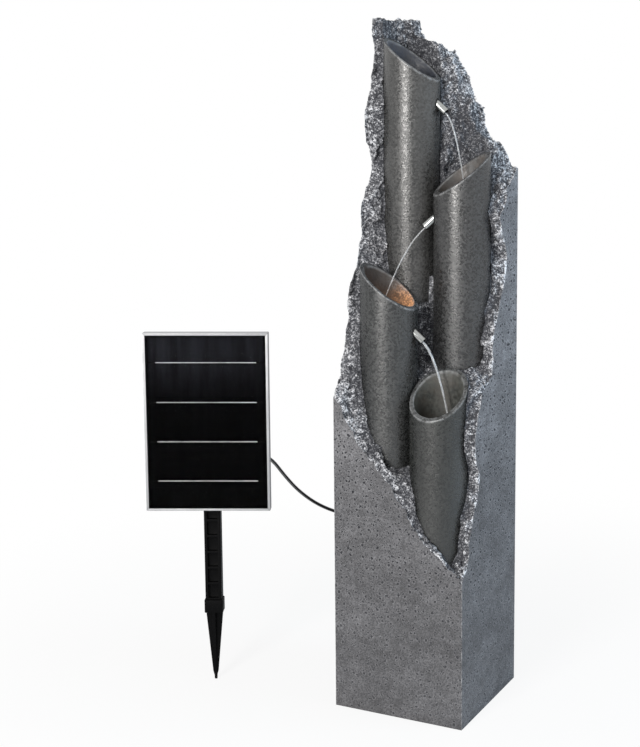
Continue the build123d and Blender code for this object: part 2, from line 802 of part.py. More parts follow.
def mitre_wedge(side):
    """The part of the panel that belongs to one side rail, cut at 45 degrees at its corners."""
    reach = panel_width/2
    tall = panel_height/2
    inner = side*mitre_gap
    outer = side*reach + inner
    points = [(outer, -tall), (inner, -tall + reach), (inner, tall - reach), (outer, tall)]
    wedge = extrude(make_face(Polyline(*points, close=True)), amount=2*panel_depth)
    return Pos(0, panel_back + panel_depth/2, hinge_height) * Rot(90, 0, 0) * wedge


def panel_rails():
    ring = panel_ring()
    side_rails = [biggest(ring & mitre_wedge(side)) for side in (-1, 1)]
    ends = ring
    for side in (-1, 1):
        ends -= Pos(-2*side*mitre_gap, 0, 0) * mitre_wedge(side)
    end_rails = sorted(ends.solids(), key=lambda solid: solid.volume)[-2:]
    return side_rails, end_rails


key_side = 8.0


def corner_keys():
    keys = []
    low_y = shelf_back + glue_gap
    high_y = panel_back - lip_thickness - glue_gap
    for side in (-1, 1):
        for end in (-1, 1):
            x = side*(panel_width/2 - rail_wall - glue_gap - key_side/2)
            z = hinge_height + end*(panel_height/2 - rail_wall - glue_gap - key_side/2)
            keys.append(block((x - key_side/2, low_y, z - key_side/2),
                              (x + key_side/2, high_y, z + key_side/2)))
    return keys


ribbon_shares = (-0.334, -0.111, 0.111, 0.334)  # of the panel's height, from its middle
ribbon_width = 1.2
ribbon_gap = 0.3
ribbon_inset = 3.0
cell_inset = 4.0  # from the frame's lip


def solar_cells():
    reach_x = panel_width/2 - lip_width - cell_inset/2
    reach_z = panel_height/2 - lip_width - cell_inset/2
    ribbons = [share*panel_height for share in ribbon_shares]
    gap = ribbon_width/2 + ribbon_gap
    lows = [-reach_z] + [z + gap for z in ribbons]
    highs = [z - gap for z in ribbons] + [reach_z]
    return [block((-reach_x, cell_front, hinge_height + low), (reach_x, backsheet_front, hinge_height + high))
            for low, high in zip(lows, highs)]


def cell_ribbons():
    reach_x = panel_width/2 - lip_width - cell_inset/2 - ribbon_inset
    return [block((-reach_x, cell_front, hinge_height + share*panel_height - ribbon_width/2),
                  (reach_x, backsheet_front, hinge_height + share*panel_height + ribbon_width/2))
            for share in ribbon_shares]


panel_box_width = 50.0
panel_box_low = 34.0  # above the hinge
panel_box_height = 40.0
panel_box_stand_out = 2.0
panel_box_corner = 4.5
bracket_height = 28.0
bracket_thickness = 3.0
barrel_half = 13.7
barrel_radius = 8.5
ear_gap = 0.3
ear_thickness = 6.0
ear_radius = 9.0
bolt_radius = 3.0
bolt_head_radius = 5.5
bolt_head = 4.0
knob_gap = 0.4
knob_radius = 14.0
knob_length = 13.0
knob_scallops = 5
knob_scallop_radius = 5.0
bolt_end_gap = 1.5
bracket_screw_radius = 1.5
bracket_screw_height = 8.0
bracket_screw_inset = 5.0


def panel_junction_box():
    low = hinge_height + panel_box_low
    box = block((-panel_box_width/2, backsheet_front + backsheet_thickness, low),
                (panel_box_width/2, panel_back + panel_box_stand_out, low + panel_box_height))
    return fillet(box.edges().filter_by(Axis.Y), panel_box_corner)


bracket_screw_places = [(side*(panel_width/2 - bracket_screw_inset), end*bracket_screw_height)
                        for side in (-1, 1) for end in (-1, 1)]


def panel_bracket():
    high = panel_back + bracket_thickness
    bar = slab(panel_width/2 - rail_wall, panel_back, high, bracket_height/2)
    web = block((-barrel_half, high - lip_thickness, hinge_height - barrel_radius),
                (barrel_half, 0, hinge_height + barrel_radius))
    bar += web + bar_x(-barrel_half, barrel_half, 0, hinge_height, barrel_radius)
    bar -= bar_x(-2*barrel_half, 2*barrel_half, 0, hinge_height, bolt_radius + running_gap)
    for x, z in bracket_screw_places:
        bar -= bar_y(x, panel_back - overrun, high + overrun, hinge_height + z,
                     bracket_screw_radius + glue_gap)
    return bar


def bracket_screws():
    screws = []
    seat = panel_back + bracket_thickness
    for x, rise in bracket_screw_places:
        z = hinge_height + rise
        screws.append(bar_y(x, seat, seat + bracket_screw_radius/2, z, 2*bracket_screw_radius)
                      + bar_y(x, panel_back - 2*bracket_thickness, seat, z, bracket_screw_radius))
    return screws


def rails_with_screw_holes(rails):
    for x, z in bracket_screw_places:
        hole = bar_y(x, panel_back - overrun/3, panel_back + overrun, hinge_height + z,
                     bracket_screw_radius + running_gap)
        rails = [biggest(rail - hole) for rail in rails]
    return rails


def hinge_bolt():
    ear_out = barrel_half + ear_gap + ear_thickness
    end = ear_out + knob_gap + knob_length - bolt_end_gap - glue_gap
    bolt = bar_x(-ear_out, end, 0, hinge_height, bolt_radius)
    head = extrude(RegularPolygon(bolt_head_radius, 6), amount=bolt_head)
    return bolt + Pos(-ear_out - bolt_head, 0, hinge_height) * Rot(0, 90, 0) * head


def tilt_knob():
    low = barrel_half + ear_gap + ear_thickness + knob_gap
    knob = bar_x(low, low + knob_length, 0, hinge_height, knob_radius)
    for step in range(knob_scallops):
        angle = math.radians(360*step/knob_scallops)
        reach = knob_radius + knob_scallop_radius/2
        knob -= bar_x(low - overrun, low + knob_length + overrun, reach*math.cos(angle),
                      hinge_height + reach*math.sin(angle), knob_scallop_radius)
    return knob - bar_x(low - overrun, low + knob_length - bolt_end_gap, 0, hinge_height,
                        bolt_radius + running_gap)


# The control box on the pole: batteries, board and switch
battery_radius = 9.2
battery_length = 65.0
battery_end_gap = 3.3
box_gap = 2.0  # behind the panel's bracket
box_depth = 39.5
box_height = 92.0
ear_rise = 16.0  # from the box's top to the hinge's axis
box_wall = 2.2
box_corner = 5.0
cover_plate = 2.5
box_half_x = battery_length/2 + battery_end_gap + box_wall
box_front = panel_back + bracket_thickness + box_gap
box_back = box_front + box_depth
box_high = hinge_height - ear_rise
box_low = box_high - box_height
pole_width = 24.6
pole_depth = 18.0
socket_depth = 16.0
socket_wall = 2.0
cover_screw_inset = 6.0
cover_screw_radius = 1.2
cover_boss_radius = 3.2
cover_screw_length = 10.0
solar_gland_y = 4.0
solar_gland_rise = 52.0  # over the box's underside
board_half_x = 27.0
board_height = 26.0
board_top_gap = 5.0
board_thickness = 1.6
board_stand_off = 4.4
switch_side = 6.0
switch_height = 0.8
button_x = -9.0
button_radius = 5.0
button_collar_radius = 6.2
button_collar = 1.2
button_stand_out = 1.8
button_travel = 1.0
button_tail = 1.2
solar_gland_nut = 2.5
battery_top_gap = 0.3

solar_gland_z = box_low + solar_gland_rise
board_low = box_high - board_top_gap - board_height
cover_screw_places = [(side*(box_half_x - cover_screw_inset), z) for side in (-1, 1)
                      for z in (box_low + cover_screw_inset, box_high - cover_screw_inset)]
button_z = board_low + board_height/2


def rounded_plate(low_y, high_y):
    """A plate of the control box's outline."""
    plate = block((-box_half_x, low_y, box_low), (box_half_x, high_y, box_high))
    return fillet(plate.edges().filter_by(Axis.Y), box_corner)


def control_box():
    outside = rounded_plate(box_front, box_back)
    box = outside - block((-box_half_x + box_wall, box_front + box_wall, box_low + box_wall),
                          (box_half_x - box_wall, box_back + overrun, box_high - box_wall))
    half_x = pole_width/2 + glue_gap
    half_y = pole_depth/2 + glue_gap
    box += block((-half_x - socket_wall, -half_y - socket_wall, box_low),
                 (half_x + socket_wall, half_y + socket_wall, box_low + socket_depth + socket_wall))
    box -= block((-half_x, -half_y, box_low - overrun), (half_x, half_y, box_low + socket_depth))
    for side in (-1, 1):
        ear_low = side*(barrel_half + ear_gap)
        ear_high = ear_low + side*ear_thickness
        low, high = min(ear_low, ear_high), max(ear_low, ear_high)
        box += block((low, -ear_radius, box_high - box_wall), (high, ear_radius, hinge_height))
        box += bar_x(low, high, 0, hinge_height, ear_radius)
    box -= bar_x(-box_half_x, box_half_x, 0, hinge_height, bolt_radius + running_gap)
    for x, z in cover_screw_places:
        box += bar_y(x, box_back - cover_screw_length, box_back, z, cover_boss_radius) & outside
        box -= bar_y(x, box_back - cover_screw_length + cover_plate, box_back + overrun, z,
                     cover_screw_radius + running_gap)
    box -= bar_x(0, box_half_x + overrun, solar_gland_y, solar_gland_z, gland_thread_radius + glue_gap)
    return biggest(box)


def control_box_cover():
    plate = rounded_plate(box_back, box_back + cover_plate)
    for side in (-1, 1):
        plate += bar_y(side*(board_half_x - cover_boss_radius), box_back - board_stand_off, box_back,
                       button_z, cover_boss_radius)
    for x, z in cover_screw_places:
        plate -= bar_y(x, box_back - overrun, box_back + 2*cover_plate, z, cover_screw_radius + glue_gap)
    return plate - bar_y(button_x, box_back - overrun, box_back + 2*cover_plate, button_z,
                         button_radius + fit_gap)


def cover_screws():
    screws = []
    face = box_back + cover_plate
    for x, z in cover_screw_places:
        screws.append(bar_y(x, face, face + cover_screw_radius, z, 2*cover_screw_radius)
                      + bar_y(x, face - cover_screw_length + fit_gap, face, z, cover_screw_radius))
    return screws


def battery_cells():
    bed = box_low + socket_depth + socket_wall + glue_gap
    first = bed + battery_radius
    second = first + 2*battery_radius + battery_top_gap
    return [bar_x(-battery_length/2, battery_length/2, 0, z, battery_radius) for z in (first, second)]


def control_board():
    back = box_back - board_stand_off
    board = block((-board_half_x, back - board_thickness, board_low),
                  (board_half_x, back, board_low + board_height))
    return board + block((button_x - switch_side/2, back, button_z - switch_side/2),
                         (button_x + switch_side/2, back + switch_height, button_z + switch_side/2))


def power_button():
    face = box_back + cover_plate
    low = box_back - fit_gap - button_collar
    button = bar_y(button_x, low, face + button_stand_out, button_z, button_radius)
    button += bar_y(button_x, low, low + button_collar, button_z, button_collar_radius)
    return button + bar_y(button_x, low - button_tail/2, low, button_z, button_radius/2)


def solar_gland():
    body = Pos(box_half_x, solar_gland_y, solar_gland_z) * gland(box_wall)
    inside = box_half_x - box_wall
    nut = bar_x(inside - solar_gland_nut, inside, solar_gland_y, solar_gland_z, gland_flange_radius)
    return body, nut


# The stake: a ribbed pole plugged into a pointed spike
spike_height = 108.4
collar_height = 19.4
collar_width = 27.9
collar_depth = 21.3
tenon_width = 18.0
tenon_depth = 12.0
tenon_length = 16.0
rib_step = 24.5
rib_height = 3.2
rail_width = 4.6
pocket_depth = 6.6
spike_shoulder = 25.4
spike_neck = 7.6
spike_neck_height = 13.0
blade = 4.2
collar_top = spike_height + collar_height
pole_top = box_low + socket_depth - fit_gap


def stake_pole():
    pole = block((-pole_width/2, -pole_depth/2, collar_top), (pole_width/2, pole_depth/2, pole_top))
    pole = fillet(pole.edges().filter_by(Axis.Z), rail_width/3)
    pole += block((-tenon_width/2, -tenon_depth/2, collar_top - tenon_length),
                  (tenon_width/2, tenon_depth/2, collar_top))
    low = collar_top + rib_height
    while low + rib_step - rib_height < box_low - rib_height:
        for side in (-1, 1):
            near = side*(pole_depth/2 - pocket_depth)
            far = side*(pole_depth/2 + overrun)
            pole -= block((-pole_width/2 + rail_width, min(near, far), low),
                          (pole_width/2 - rail_width, max(near, far), low + rib_step - rib_height))
        low += rib_step
    return pole


def ground_spike():
    collar = block((-collar_width/2, -collar_depth/2, spike_height),
                   (collar_width/2, collar_depth/2, collar_top))
    collar = fillet(collar.edges().filter_by(Axis.Z), rail_width/2)
    wide = tenon_width/2 + glue_gap
    deep = tenon_depth/2 + glue_gap
    collar -= block((-wide, -deep, collar_top - tenon_length - glue_gap), (wide, deep, collar_top + overrun))
    for width, turn in ((spike_shoulder, 0), (spike_shoulder*collar_depth/collar_width, 90)):
        share = width/spike_shoulder
        outline = Polyline((-width/2, spike_height), (-spike_neck/2*share, spike_neck_height), (0, 0),
                           (spike_neck/2*share, spike_neck_height), (width/2, spike_height), close=True)
        plate = extrude(make_face(outline), amount=blade/2, both=True)
        collar += Rot(0, 0, turn) * Rot(90, 0, 0) * plate
    return biggest(collar)


# The cable: a hanging stretch, a coil put away behind the column, and a tail up to the column's gland
bend_share = 0.45
coil_x = -20.0
coil_y = 150.0
coil_radius = 37.5  # of the outermost turn's middle line
coil_pitch = 5.7  # from turn to turn and from layer to layer
coil_turns = 3  # in each layer
coil_layers = 4
reversal_share = 0.6  # of half a pitch: how much wider the step is where the spiral turns back
floor_gap = 0.1
exit_run = 17.0  # straight out of the control box's gland
clip_run = 18.0  # straight through the clip, each way from its middle
coil_run = 20.0  # straight before and after the coil's own straight ends
gland_run = 16.0  # straight into the column's gland
cable_floor = cable_diameter/2 + floor_gap
solar_exit = (box_half_x + gland_flange + gland_dome, solar_gland_y, solar_gland_z)
exit_turn = math.radians(solar_turn)


def from_solar(point):
    x, y, z = point
    return (solar_x + x*math.cos(exit_turn) - y*math.sin(exit_turn),
            solar_y + x*math.sin(exit_turn) + y*math.cos(exit_turn), z)


coil_entry = (coil_x - cable_diameter, coil_y - coil_radius, cable_floor)
span_points = (
    from_solar(solar_exit),
    from_solar((solar_exit[0] + exit_run, solar_exit[1], solar_exit[2])),
    (-236, -48, 342),
    (-224, -30, 312),
    (-209, -12, 284),
    (-187, 14, 257),
    (-159, 46, 238),
    (-133, 79, 230),
    (-117, 103, 225),
    (-101, 117, 211),
    (-88, 114, 187),
    (-80, 107, 162),
    (clip_x, clip_y, clip_z + clip_run),
    (clip_x, clip_y, clip_z - clip_run),
    (-78.6, 105.6, 68),
    (-76, 108, 36),
    (-66, 110.5, 13),
    (coil_entry[0] - coil_run, coil_entry[1], cable_floor),
    coil_entry,
)
tail_start = (coil_x - cable_diameter, coil_y + coil_radius, cable_floor + (coil_layers - 1)*coil_pitch)
tail_points = (
    tail_start,
    (tail_start[0] - coil_run, tail_start[1], tail_start[2]),
    (-62, 180, 31),
    (-68, 172, 58),
    (-63, 166, 94),
    (-60, 161, 124),
    (-58, 148, 144),
    (gland_x, gland_mouth + gland_run, gland_z),
    (gland_x, gland_mouth, gland_z),
)


def cord(name, points):
    """A cable along straight runs, joined by arcs as large as the runs allow."""
    corners = [Vector(*point) for point in points]
    radii = []
    for before, here, after in zip(corners, corners[1:], corners[2:]):
        into, out = here - before, after - here
        turn = math.radians(into.get_angle(out))
        radii.append(bend_share*min(into.length, out.length)/math.tan(turn/2))
    line = FilletPolyline(*corners, radius=radii)
    tube = sweep(Plane(origin=line @ 0, z_dir=line % 0) * Circle(cable_diameter/2), path=line)
    section = math.pi*cable_diameter**2/4
    runs = [(b - a).length for a, b in zip(corners, corners[1:])]
    print(f"{name}: length {line.length:.1f}, volume over section and length "
          f"{tube.volume/section/line.length:.4f}")
    print("  runs", " ".join(f"{length:.0f}" for length in runs))
    print("  radii", " ".join(f"{radius:.0f}" for radius in radii))
    return tube


def coil_crossings():
    """Where the coil's half turns begin and end, along its axis of crossings, with their heights."""
    spots = []
    side = -1
    for layer in range(coil_layers):
        height = cable_floor + layer*coil_pitch
        last = 2*coil_turns - 1
        inward = layer % 2 == 0
        for step in range(last + 1):
            drawn_in = step if inward else last - step
            if step == 0 and layer > 0:
                drawn_in += -reversal_share if inward else reversal_share
            if step == last and layer < coil_layers - 1:
                drawn_in += reversal_share if inward else -reversal_share
            spots.append((side*(coil_radius - drawn_in*coil_pitch/2), height))
            side = -side
    return spots


def solar_cable_coil():
    spots = coil_crossings()
    path = [Line((coil_x - cable_diameter, coil_y + spots[0][0], spots[0][1]),
                 (coil_x, coil_y + spots[0][0], spots[0][1]))]
    way = 1
    for (start, low), (end, high) in zip(spots, spots[1:]):
        reach = math.hypot(start - end, low - high)/2
        path.append(ThreePointArc((coil_x, coil_y + start, low),
                                  (coil_x + way*reach, coil_y + (start + end)/2, (low + high)/2),
                                  (coil_x, coil_y + end, high)))
        way = -way
    last, top = spots[-1]
    path.append(Line((coil_x, coil_y + last, top), (coil_x + way*cable_diameter, coil_y + last, top)))
    wire = Wire(path)
    tube = sweep(Plane(origin=wire @ 0, z_dir=wire % 0) * Circle(cable_diameter/2), path=wire)
    section = math.pi*cable_diameter**2/4
    print(f"coil: length {wire.length:.1f}, volume over section and length "
          f"{tube.volume/section/wire.length:.4f}")
    print(f"  least gap to itself {least_gap(wire):.2f}")
    return tube


def least_gap(wire):
    """The least clear distance between stretches of the coil that are half a turn or more apart."""
    count = 60*coil_turns*coil_layers
    points = [wire @ (step/count) for step in range(count + 1)]
    apart = count//(4*coil_turns*coil_layers)*2
    least = min((a - b).length for number, a in enumerate(points) for b in points[number + apart:])
    return least - cable_diameter


def write_column():
    cutter = break_cutter()
    write("column_shell", column_shell(cutter))
    write("rock_core", rock_core(cutter))
    write("base_plate", base_plate())
    write("base_screws", *base_screws())
    for number in range(len(tubes)):
        write(f"cascade_tube_{number + 1}", cascade_tube(number))
    write("cup_floors", *[cup_floor(number) for number in range(len(tubes))])
    for number in range(len(spout_falls)):
        write(f"spout_{number + 1}", spout(number))
    write("spout_grommets", *[spout_grommet(number) for number in range(len(spout_falls))])
    write("inlet_fitting", inlet_fitting())
    write("riser_hose", riser_hose())
    write("drain_fitting", drain_fitting())
    write("drain_hose", drain_hose())
    write("cup_lights", *cup_lights())
    write("light_lenses", *light_lenses())
    write("light_leads", *light_leads())
    write("lead_junction_box", lead_junction_box())
    write("inner_leads", feed_lead(), pump_lead())
    write("rear_door", rear_door())
    write("door_seal", door_seal())
    write("column_gland", *column_gland())
    write("cable_clip", cable_clip())
    write("clip_screw", clip_screw())


def write_pump():
    write("reservoir_tub", reservoir_tub())
    write("pump_body", pump_body())
    write("impeller_cover", impeller_cover())
    write("impeller", impeller())
    write("impeller_shaft", impeller_shaft())
    write("suction_feet", *suction_feet())
    write("intake_cover", intake_cover())
    write("filter_foam", filter_foam())
    write("flow_dial", flow_dial())


def put(name, *shapes):
    """Write a piece of the solar unit, from the unit's own frame."""
    write(name, *[solar_frame * shape for shape in shapes])


def write_solar_unit():
    side_rails, end_rails = panel_rails()
    put("panel_side_rails", *rails_with_screw_holes(side_rails))
    put("panel_end_rails", *end_rails)
    put("panel_corner_keys", *corner_keys())
    put("panel_glass", slab(glass_half_x, glass_front, cell_front, glass_half_z))
    put("solar_cells", *solar_cells())
    put("cell_ribbons", *cell_ribbons())
    put("panel_backsheet",
        slab(glass_half_x, backsheet_front, backsheet_front + backsheet_thickness, glass_half_z))
    put("panel_junction_box", panel_junction_box())
    put("panel_bracket", panel_bracket())
    put("bracket_screws", *bracket_screws())
    put("hinge_bolt", hinge_bolt())
    put("tilt_knob", tilt_knob())
    put("control_box", control_box())
    put("control_box_cover", control_box_cover())
    put("cover_screws", *cover_screws())
    put("battery_cells", *battery_cells())
    put("control_board", control_board())
    put("power_button", power_button())
    put("solar_gland", *solar_gland())
    put("stake_pole", stake_pole())
    put("ground_spike", ground_spike())


def write_cable():
    write("solar_cable_span", cord("span", span_points))
    write("solar_cable_coil", solar_cable_coil())
    write("solar_cable_tail", cord("tail", tail_points))


write_column()
write_pump()
write_solar_unit()
write_cable()
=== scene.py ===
import math

import bmesh
import bpy
from mathutils import Matrix, Vector, noise


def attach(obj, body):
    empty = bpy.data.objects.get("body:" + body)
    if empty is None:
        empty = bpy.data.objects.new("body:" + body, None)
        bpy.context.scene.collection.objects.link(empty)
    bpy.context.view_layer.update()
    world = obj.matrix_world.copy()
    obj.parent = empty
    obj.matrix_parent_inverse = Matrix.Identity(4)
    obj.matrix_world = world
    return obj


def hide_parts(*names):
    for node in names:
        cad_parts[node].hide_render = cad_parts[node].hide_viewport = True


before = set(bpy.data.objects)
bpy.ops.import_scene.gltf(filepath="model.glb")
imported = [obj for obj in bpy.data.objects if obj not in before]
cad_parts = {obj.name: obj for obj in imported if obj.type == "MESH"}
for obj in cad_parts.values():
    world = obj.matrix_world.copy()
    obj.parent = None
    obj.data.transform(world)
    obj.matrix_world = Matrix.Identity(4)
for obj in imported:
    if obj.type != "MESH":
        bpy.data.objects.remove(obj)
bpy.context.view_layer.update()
scene = bpy.context.scene
scene.view_settings.view_transform = "Standard"


def addObject(name, data):
    made = bpy.data.objects.new(name, data)
    scene.collection.objects.link(made)
    return made


def clamp(value, low=0.0, high=1.0):
    return min(high, max(low, value))


def heading(degrees):
    # a level direction, turned from +X
    return Vector((math.cos(math.radians(degrees)), math.sin(math.radians(degrees)), 0))


# the camera stands where the photograph was taken from
viewpoint = {"place": (0.8304, -1.7789, 0.8623), "turn": 24.904, "tilt": 7.395,
             "lens": 66.3, "film": 36, "shift": (-0.147, -0.1145)}


def makeCamera():
    eye = bpy.data.cameras.new("camera")
    eye.lens = viewpoint["lens"]
    eye.sensor_width = viewpoint["film"]
    eye.shift_x, eye.shift_y = viewpoint["shift"]
    camera = addObject("camera", eye)
    camera.location = viewpoint["place"]
    camera.rotation_euler = (math.radians(90 - viewpoint["tilt"]), 0, math.radians(viewpoint["turn"]))
    scene.camera = camera


makeCamera()
print("camera set")


# helpers for node trees: an input gets another node's output, or a value of its own

def setInputs(tree, node, inputs):
    for key, value in inputs.items():
        if isinstance(value, bpy.types.NodeSocket):
            tree.links.new(value, node.inputs[key])
        else:
            node.inputs[key].default_value = value


def addNode(tree, kind, inputs=None, **settings):
    node = tree.nodes.new("ShaderNode" + kind)
    for key, value in settings.items():
        setattr(node, key, value)
    setInputs(tree, node, inputs or {})
    return node


def calc(tree, operation, *values, clamped=False):
    return addNode(tree, "Math", dict(enumerate(values)), operation=operation, use_clamp=clamped).outputs[0]


def multiply(tree, first, *others):
    for value in others:
        first = calc(tree, "MULTIPLY", first, value)
    return first


def mixColour(tree, factor, first, second):
    return addNode(tree, "Mix", {0: factor, 6: first, 7: second}, data_type="RGBA").outputs[2]


def ramp(tree, value, low, high, start=0.0, end=1.0):
    inputs = {"Value": value, "From Min": low, "From Max": high, "To Min": start, "To Max": end}
    return addNode(tree, "MapRange", inputs, interpolation_type="SMOOTHSTEP").outputs[0]


def colour(red, green, blue):
    return (red, green, blue, 1.0)


def scaled(tree, tint, *tones):
    # a tint made lighter or darker by each tone in turn
    if isinstance(tint, tuple):
        tint = addNode(tree, "CombineXYZ", dict(enumerate(tint))).outputs[0]
    for tone in tones:
        tint = addNode(tree, "VectorMath", {0: tint, 3: tone}, operation="SCALE").outputs[0]
    return tint


def objectPoint(tree, turn=0.0, stretch=(1.0, 1.0, 1.0)):
    inputs = {"Vector": addNode(tree, "TexCoord").outputs["Object"], "Scale": stretch,
              "Rotation": (0.0, 0.0, math.radians(turn))}
    return addNode(tree, "Mapping", inputs).outputs[0]


def separated(tree, point):
    return addNode(tree, "SeparateXYZ", {0: point}).outputs


def noiseValue(tree, point, scale, detail=2.0, rough=0.5):
    inputs = {"Vector": point, "Scale": scale, "Detail": detail, "Roughness": rough}
    return addNode(tree, "TexNoise", inputs).outputs[0]


def painted(tree, name):
    # a value that the mesh carries at each of its points
    return addNode(tree, "Attribute", attribute_name=name).outputs["Fac"]


def newGroup(name, values, outputs):
    # its inputs are a point and some values of its own
    group = bpy.data.node_groups.new(name, "ShaderNodeTree")
    group.interface.new_socket("Vector", in_out="INPUT", socket_type="NodeSocketVector")
    for label, value in values.items():
        socket = group.interface.new_socket(label, in_out="INPUT", socket_type="NodeSocketFloat")
        socket.default_value = value
    for label in outputs:
        group.interface.new_socket(label, in_out="OUTPUT", socket_type="NodeSocketFloat")
    return group, group.nodes.new("NodeGroupInput").outputs, group.nodes.new("NodeGroupOutput")


def useGroup(tree, group, **inputs):
    return addNode(tree, "Group", inputs, node_tree=group).outputs


# fine grain: a value with adjustable contrast, its height, and single specks
def makeGrain():
    group, given, made = newGroup("grain", {"Scale": 400.0, "Contrast": 0.5}, ["Value", "Height", "Speck"])
    fine = noiseValue(group, given["Vector"], given["Scale"], 3.0, 0.6)
    spread = calc(group, "SUBTRACT", 0.45, multiply(group, given["Contrast"], 0.4))
    value = ramp(group, fine, calc(group, "SUBTRACT", 0.5, spread), calc(group, "ADD", 0.5, spread))
    cells = addNode(group, "TexVoronoi", {"Vector": given["Vector"], "Scale": given["Scale"]})
    speck = addNode(group, "SeparateColor", {0: cells.outputs["Color"]}).outputs[0]
    setInputs(group, made, {"Value": value, "Height": fine, "Speck": speck})
    return group


# casting pits: holes in painted shade with a painted highlight on their rim, over the first two coordinates
# of the pattern
def makePits():
    group, given, made = newGroup("pits", {"Scale": 90.0, "Size": 0.14, "Share": 0.4},
                                  ["Pit", "RimHighlight", "Height"])
    wobble = addNode(group, "TexNoise", {"Vector": given["Vector"], "Scale": 260.0, "Detail": 2.0}).outputs[1]
    moved = addNode(group, "VectorMath", {0: wobble, 3: 0.004}, operation="SCALE").outputs[0]
    point = addNode(group, "VectorMath", {0: given["Vector"], 1: moved}, operation="ADD").outputs[0]
    cells = addNode(group, "TexVoronoi", {"Vector": point, "Scale": given["Scale"]}, voronoi_dimensions="2D")
    pick = addNode(group, "SeparateColor", {0: cells.outputs["Color"]}).outputs
    chosen = calc(group, "LESS_THAN", pick[0], given["Share"])
    size = multiply(group, given["Size"], calc(group, "ADD", pick[1], 0.35))
    distance = cells.outputs["Distance"]
    # the pit is painted shade in the hole, the halo round it a painted highlight
    pit = multiply(group, ramp(group, distance, multiply(group, size, 0.6), size, 1.0, 0.0), chosen)
    halo = multiply(group, ramp(group, distance, size, multiply(group, size, 1.7), 1.0, 0.0), chosen)
    rim = calc(group, "SUBTRACT", halo, pit, clamped=True)
    height = calc(group, "SUBTRACT", multiply(group, rim, 0.15), pit)
    setInputs(group, made, {"Pit": pit, "RimHighlight": rim, "Height": height})
    return group


# broad clouds of tone
def makeClouds():
    group, given, made = newGroup("clouds", {"Scale": 8.0, "Low": 0.85, "High": 1.15}, ["Tone"])
    broad = noiseValue(group, given["Vector"], given["Scale"], 5.0, 0.6)
    setInputs(group, made, {"Tone": ramp(group, broad, 0.3, 0.7, given["Low"], given["High"])})
    return group


grainEffect = makeGrain()
pitsEffect = makePits()
cloudsEffect = makeClouds()


def newMaterial(name):
    material = bpy.data.materials.new(name)
    material.use_nodes = True
    tree = material.node_tree
    return material, tree, tree.nodes["Principled BSDF"]


def setBump(tree, shader, height, distance):
    bump = addNode(tree, "Bump", {"Height": height, "Distance": distance, "Strength": 1.0})
    tree.links.new(bump.outputs[0], shader.inputs["Normal"])


# moulded plastic and rubber: fine texture, slight change of tone and gloss
def moulded(name, tint, rough, grainScale=900.0, depth=0.00008, tone=0.12, sheen=0.5):
    material, tree, shader = newMaterial(name)
    point = objectPoint(tree)
    grain = useGroup(tree, grainEffect, Vector=point, Scale=grainScale, Contrast=0.4)
    clouds = useGroup(tree, cloudsEffect, Vector=point, Scale=25.0, Low=1 - tone, High=1 + tone)
    speck = ramp(tree, grain["Value"], 0.0, 1.0, 1 - tone, 1 + tone)
    setInputs(tree, shader, {
        "Base Color": scaled(tree, tint, speck, clouds["Tone"]), "Specular IOR Level": sheen,
        "Roughness": ramp(tree, grain["Value"], 0.0, 1.0, rough - 0.06, rough + 0.08)})
    setBump(tree, shader, grain["Height"], depth)
    return material


# metal with a drawn or brushed grain
def drawnMetal(name, tint, rough, stretch, turn=0.0, depth=0.00002, uneven=0.3):
    material, tree, shader = newMaterial(name)
    lines = noiseValue(tree, objectPoint(tree, turn, stretch), 1.0, 3.0, 0.6)
    smudge = noiseValue(tree, objectPoint(tree), 60.0, 3.0)
    setInputs(tree, shader, {
        "Base Color": scaled(tree, tint, ramp(tree, lines, 0.2, 0.8, 0.88, 1.06)), "Metallic": 1.0,
        "Roughness": ramp(tree, smudge, 0.3, 0.7, rough * (1 - uneven), rough * (1 + uneven))})
    setBump(tree, shader, lines, depth)
    return material


# the column: the broken body and its cast faces, as one surface
column = {"half": 0.1, "inner": 0.09, "deckLow": 0.196, "rockLow": 0.2105, "top": 1.0, "boreRadius": 0.0418,
          "grain": 0.0034, "weld": 0.00003, "cut": 0.00001, "flatDegrees": 0.3}
tubes = [{"place": (-0.045, 0.045), "mouth": 0.935, "fall": 0.0},
         {"place": (0.041, 0.0315), "mouth": 0.772, "fall": 220.0},
         {"place": (-0.042, -0.0385), "mouth": 0.613, "fall": 0.0},
         {"place": (0.0425, -0.052), "mouth": 0.466, "fall": 270.0}]
mouthSlope = 36.9


# cast faces: mid grey cement with pits in painted shade and painted highlights on their rims, clouds and pale
# worn corners
castStone = {"tint": (0.158, 0.157, 0.165), "pitShadeTint": colour(0.030, 0.031, 0.036),
             "rimTint": colour(0.33, 0.33, 0.345), "rims": 0.34, "smallRims": 0.7, "smallPits": 0.85,
             "wornTint": colour(0.42, 0.42, 0.43), "worn": 0.8, "wornWidth": 0.0011,
             "rough": 0.78, "bump": 0.0008,
             "sideShare": 0.6,  # how far a pattern moves on over the side that is seen aslant
             # between two heights: painted shade darkening the stone towards its bottom, and how clear its
             # pits
             "lift": (0.2, 0.62, 0.77, 1.19), "clearer": (0.03, 0.3, 0.6, 1.0)}


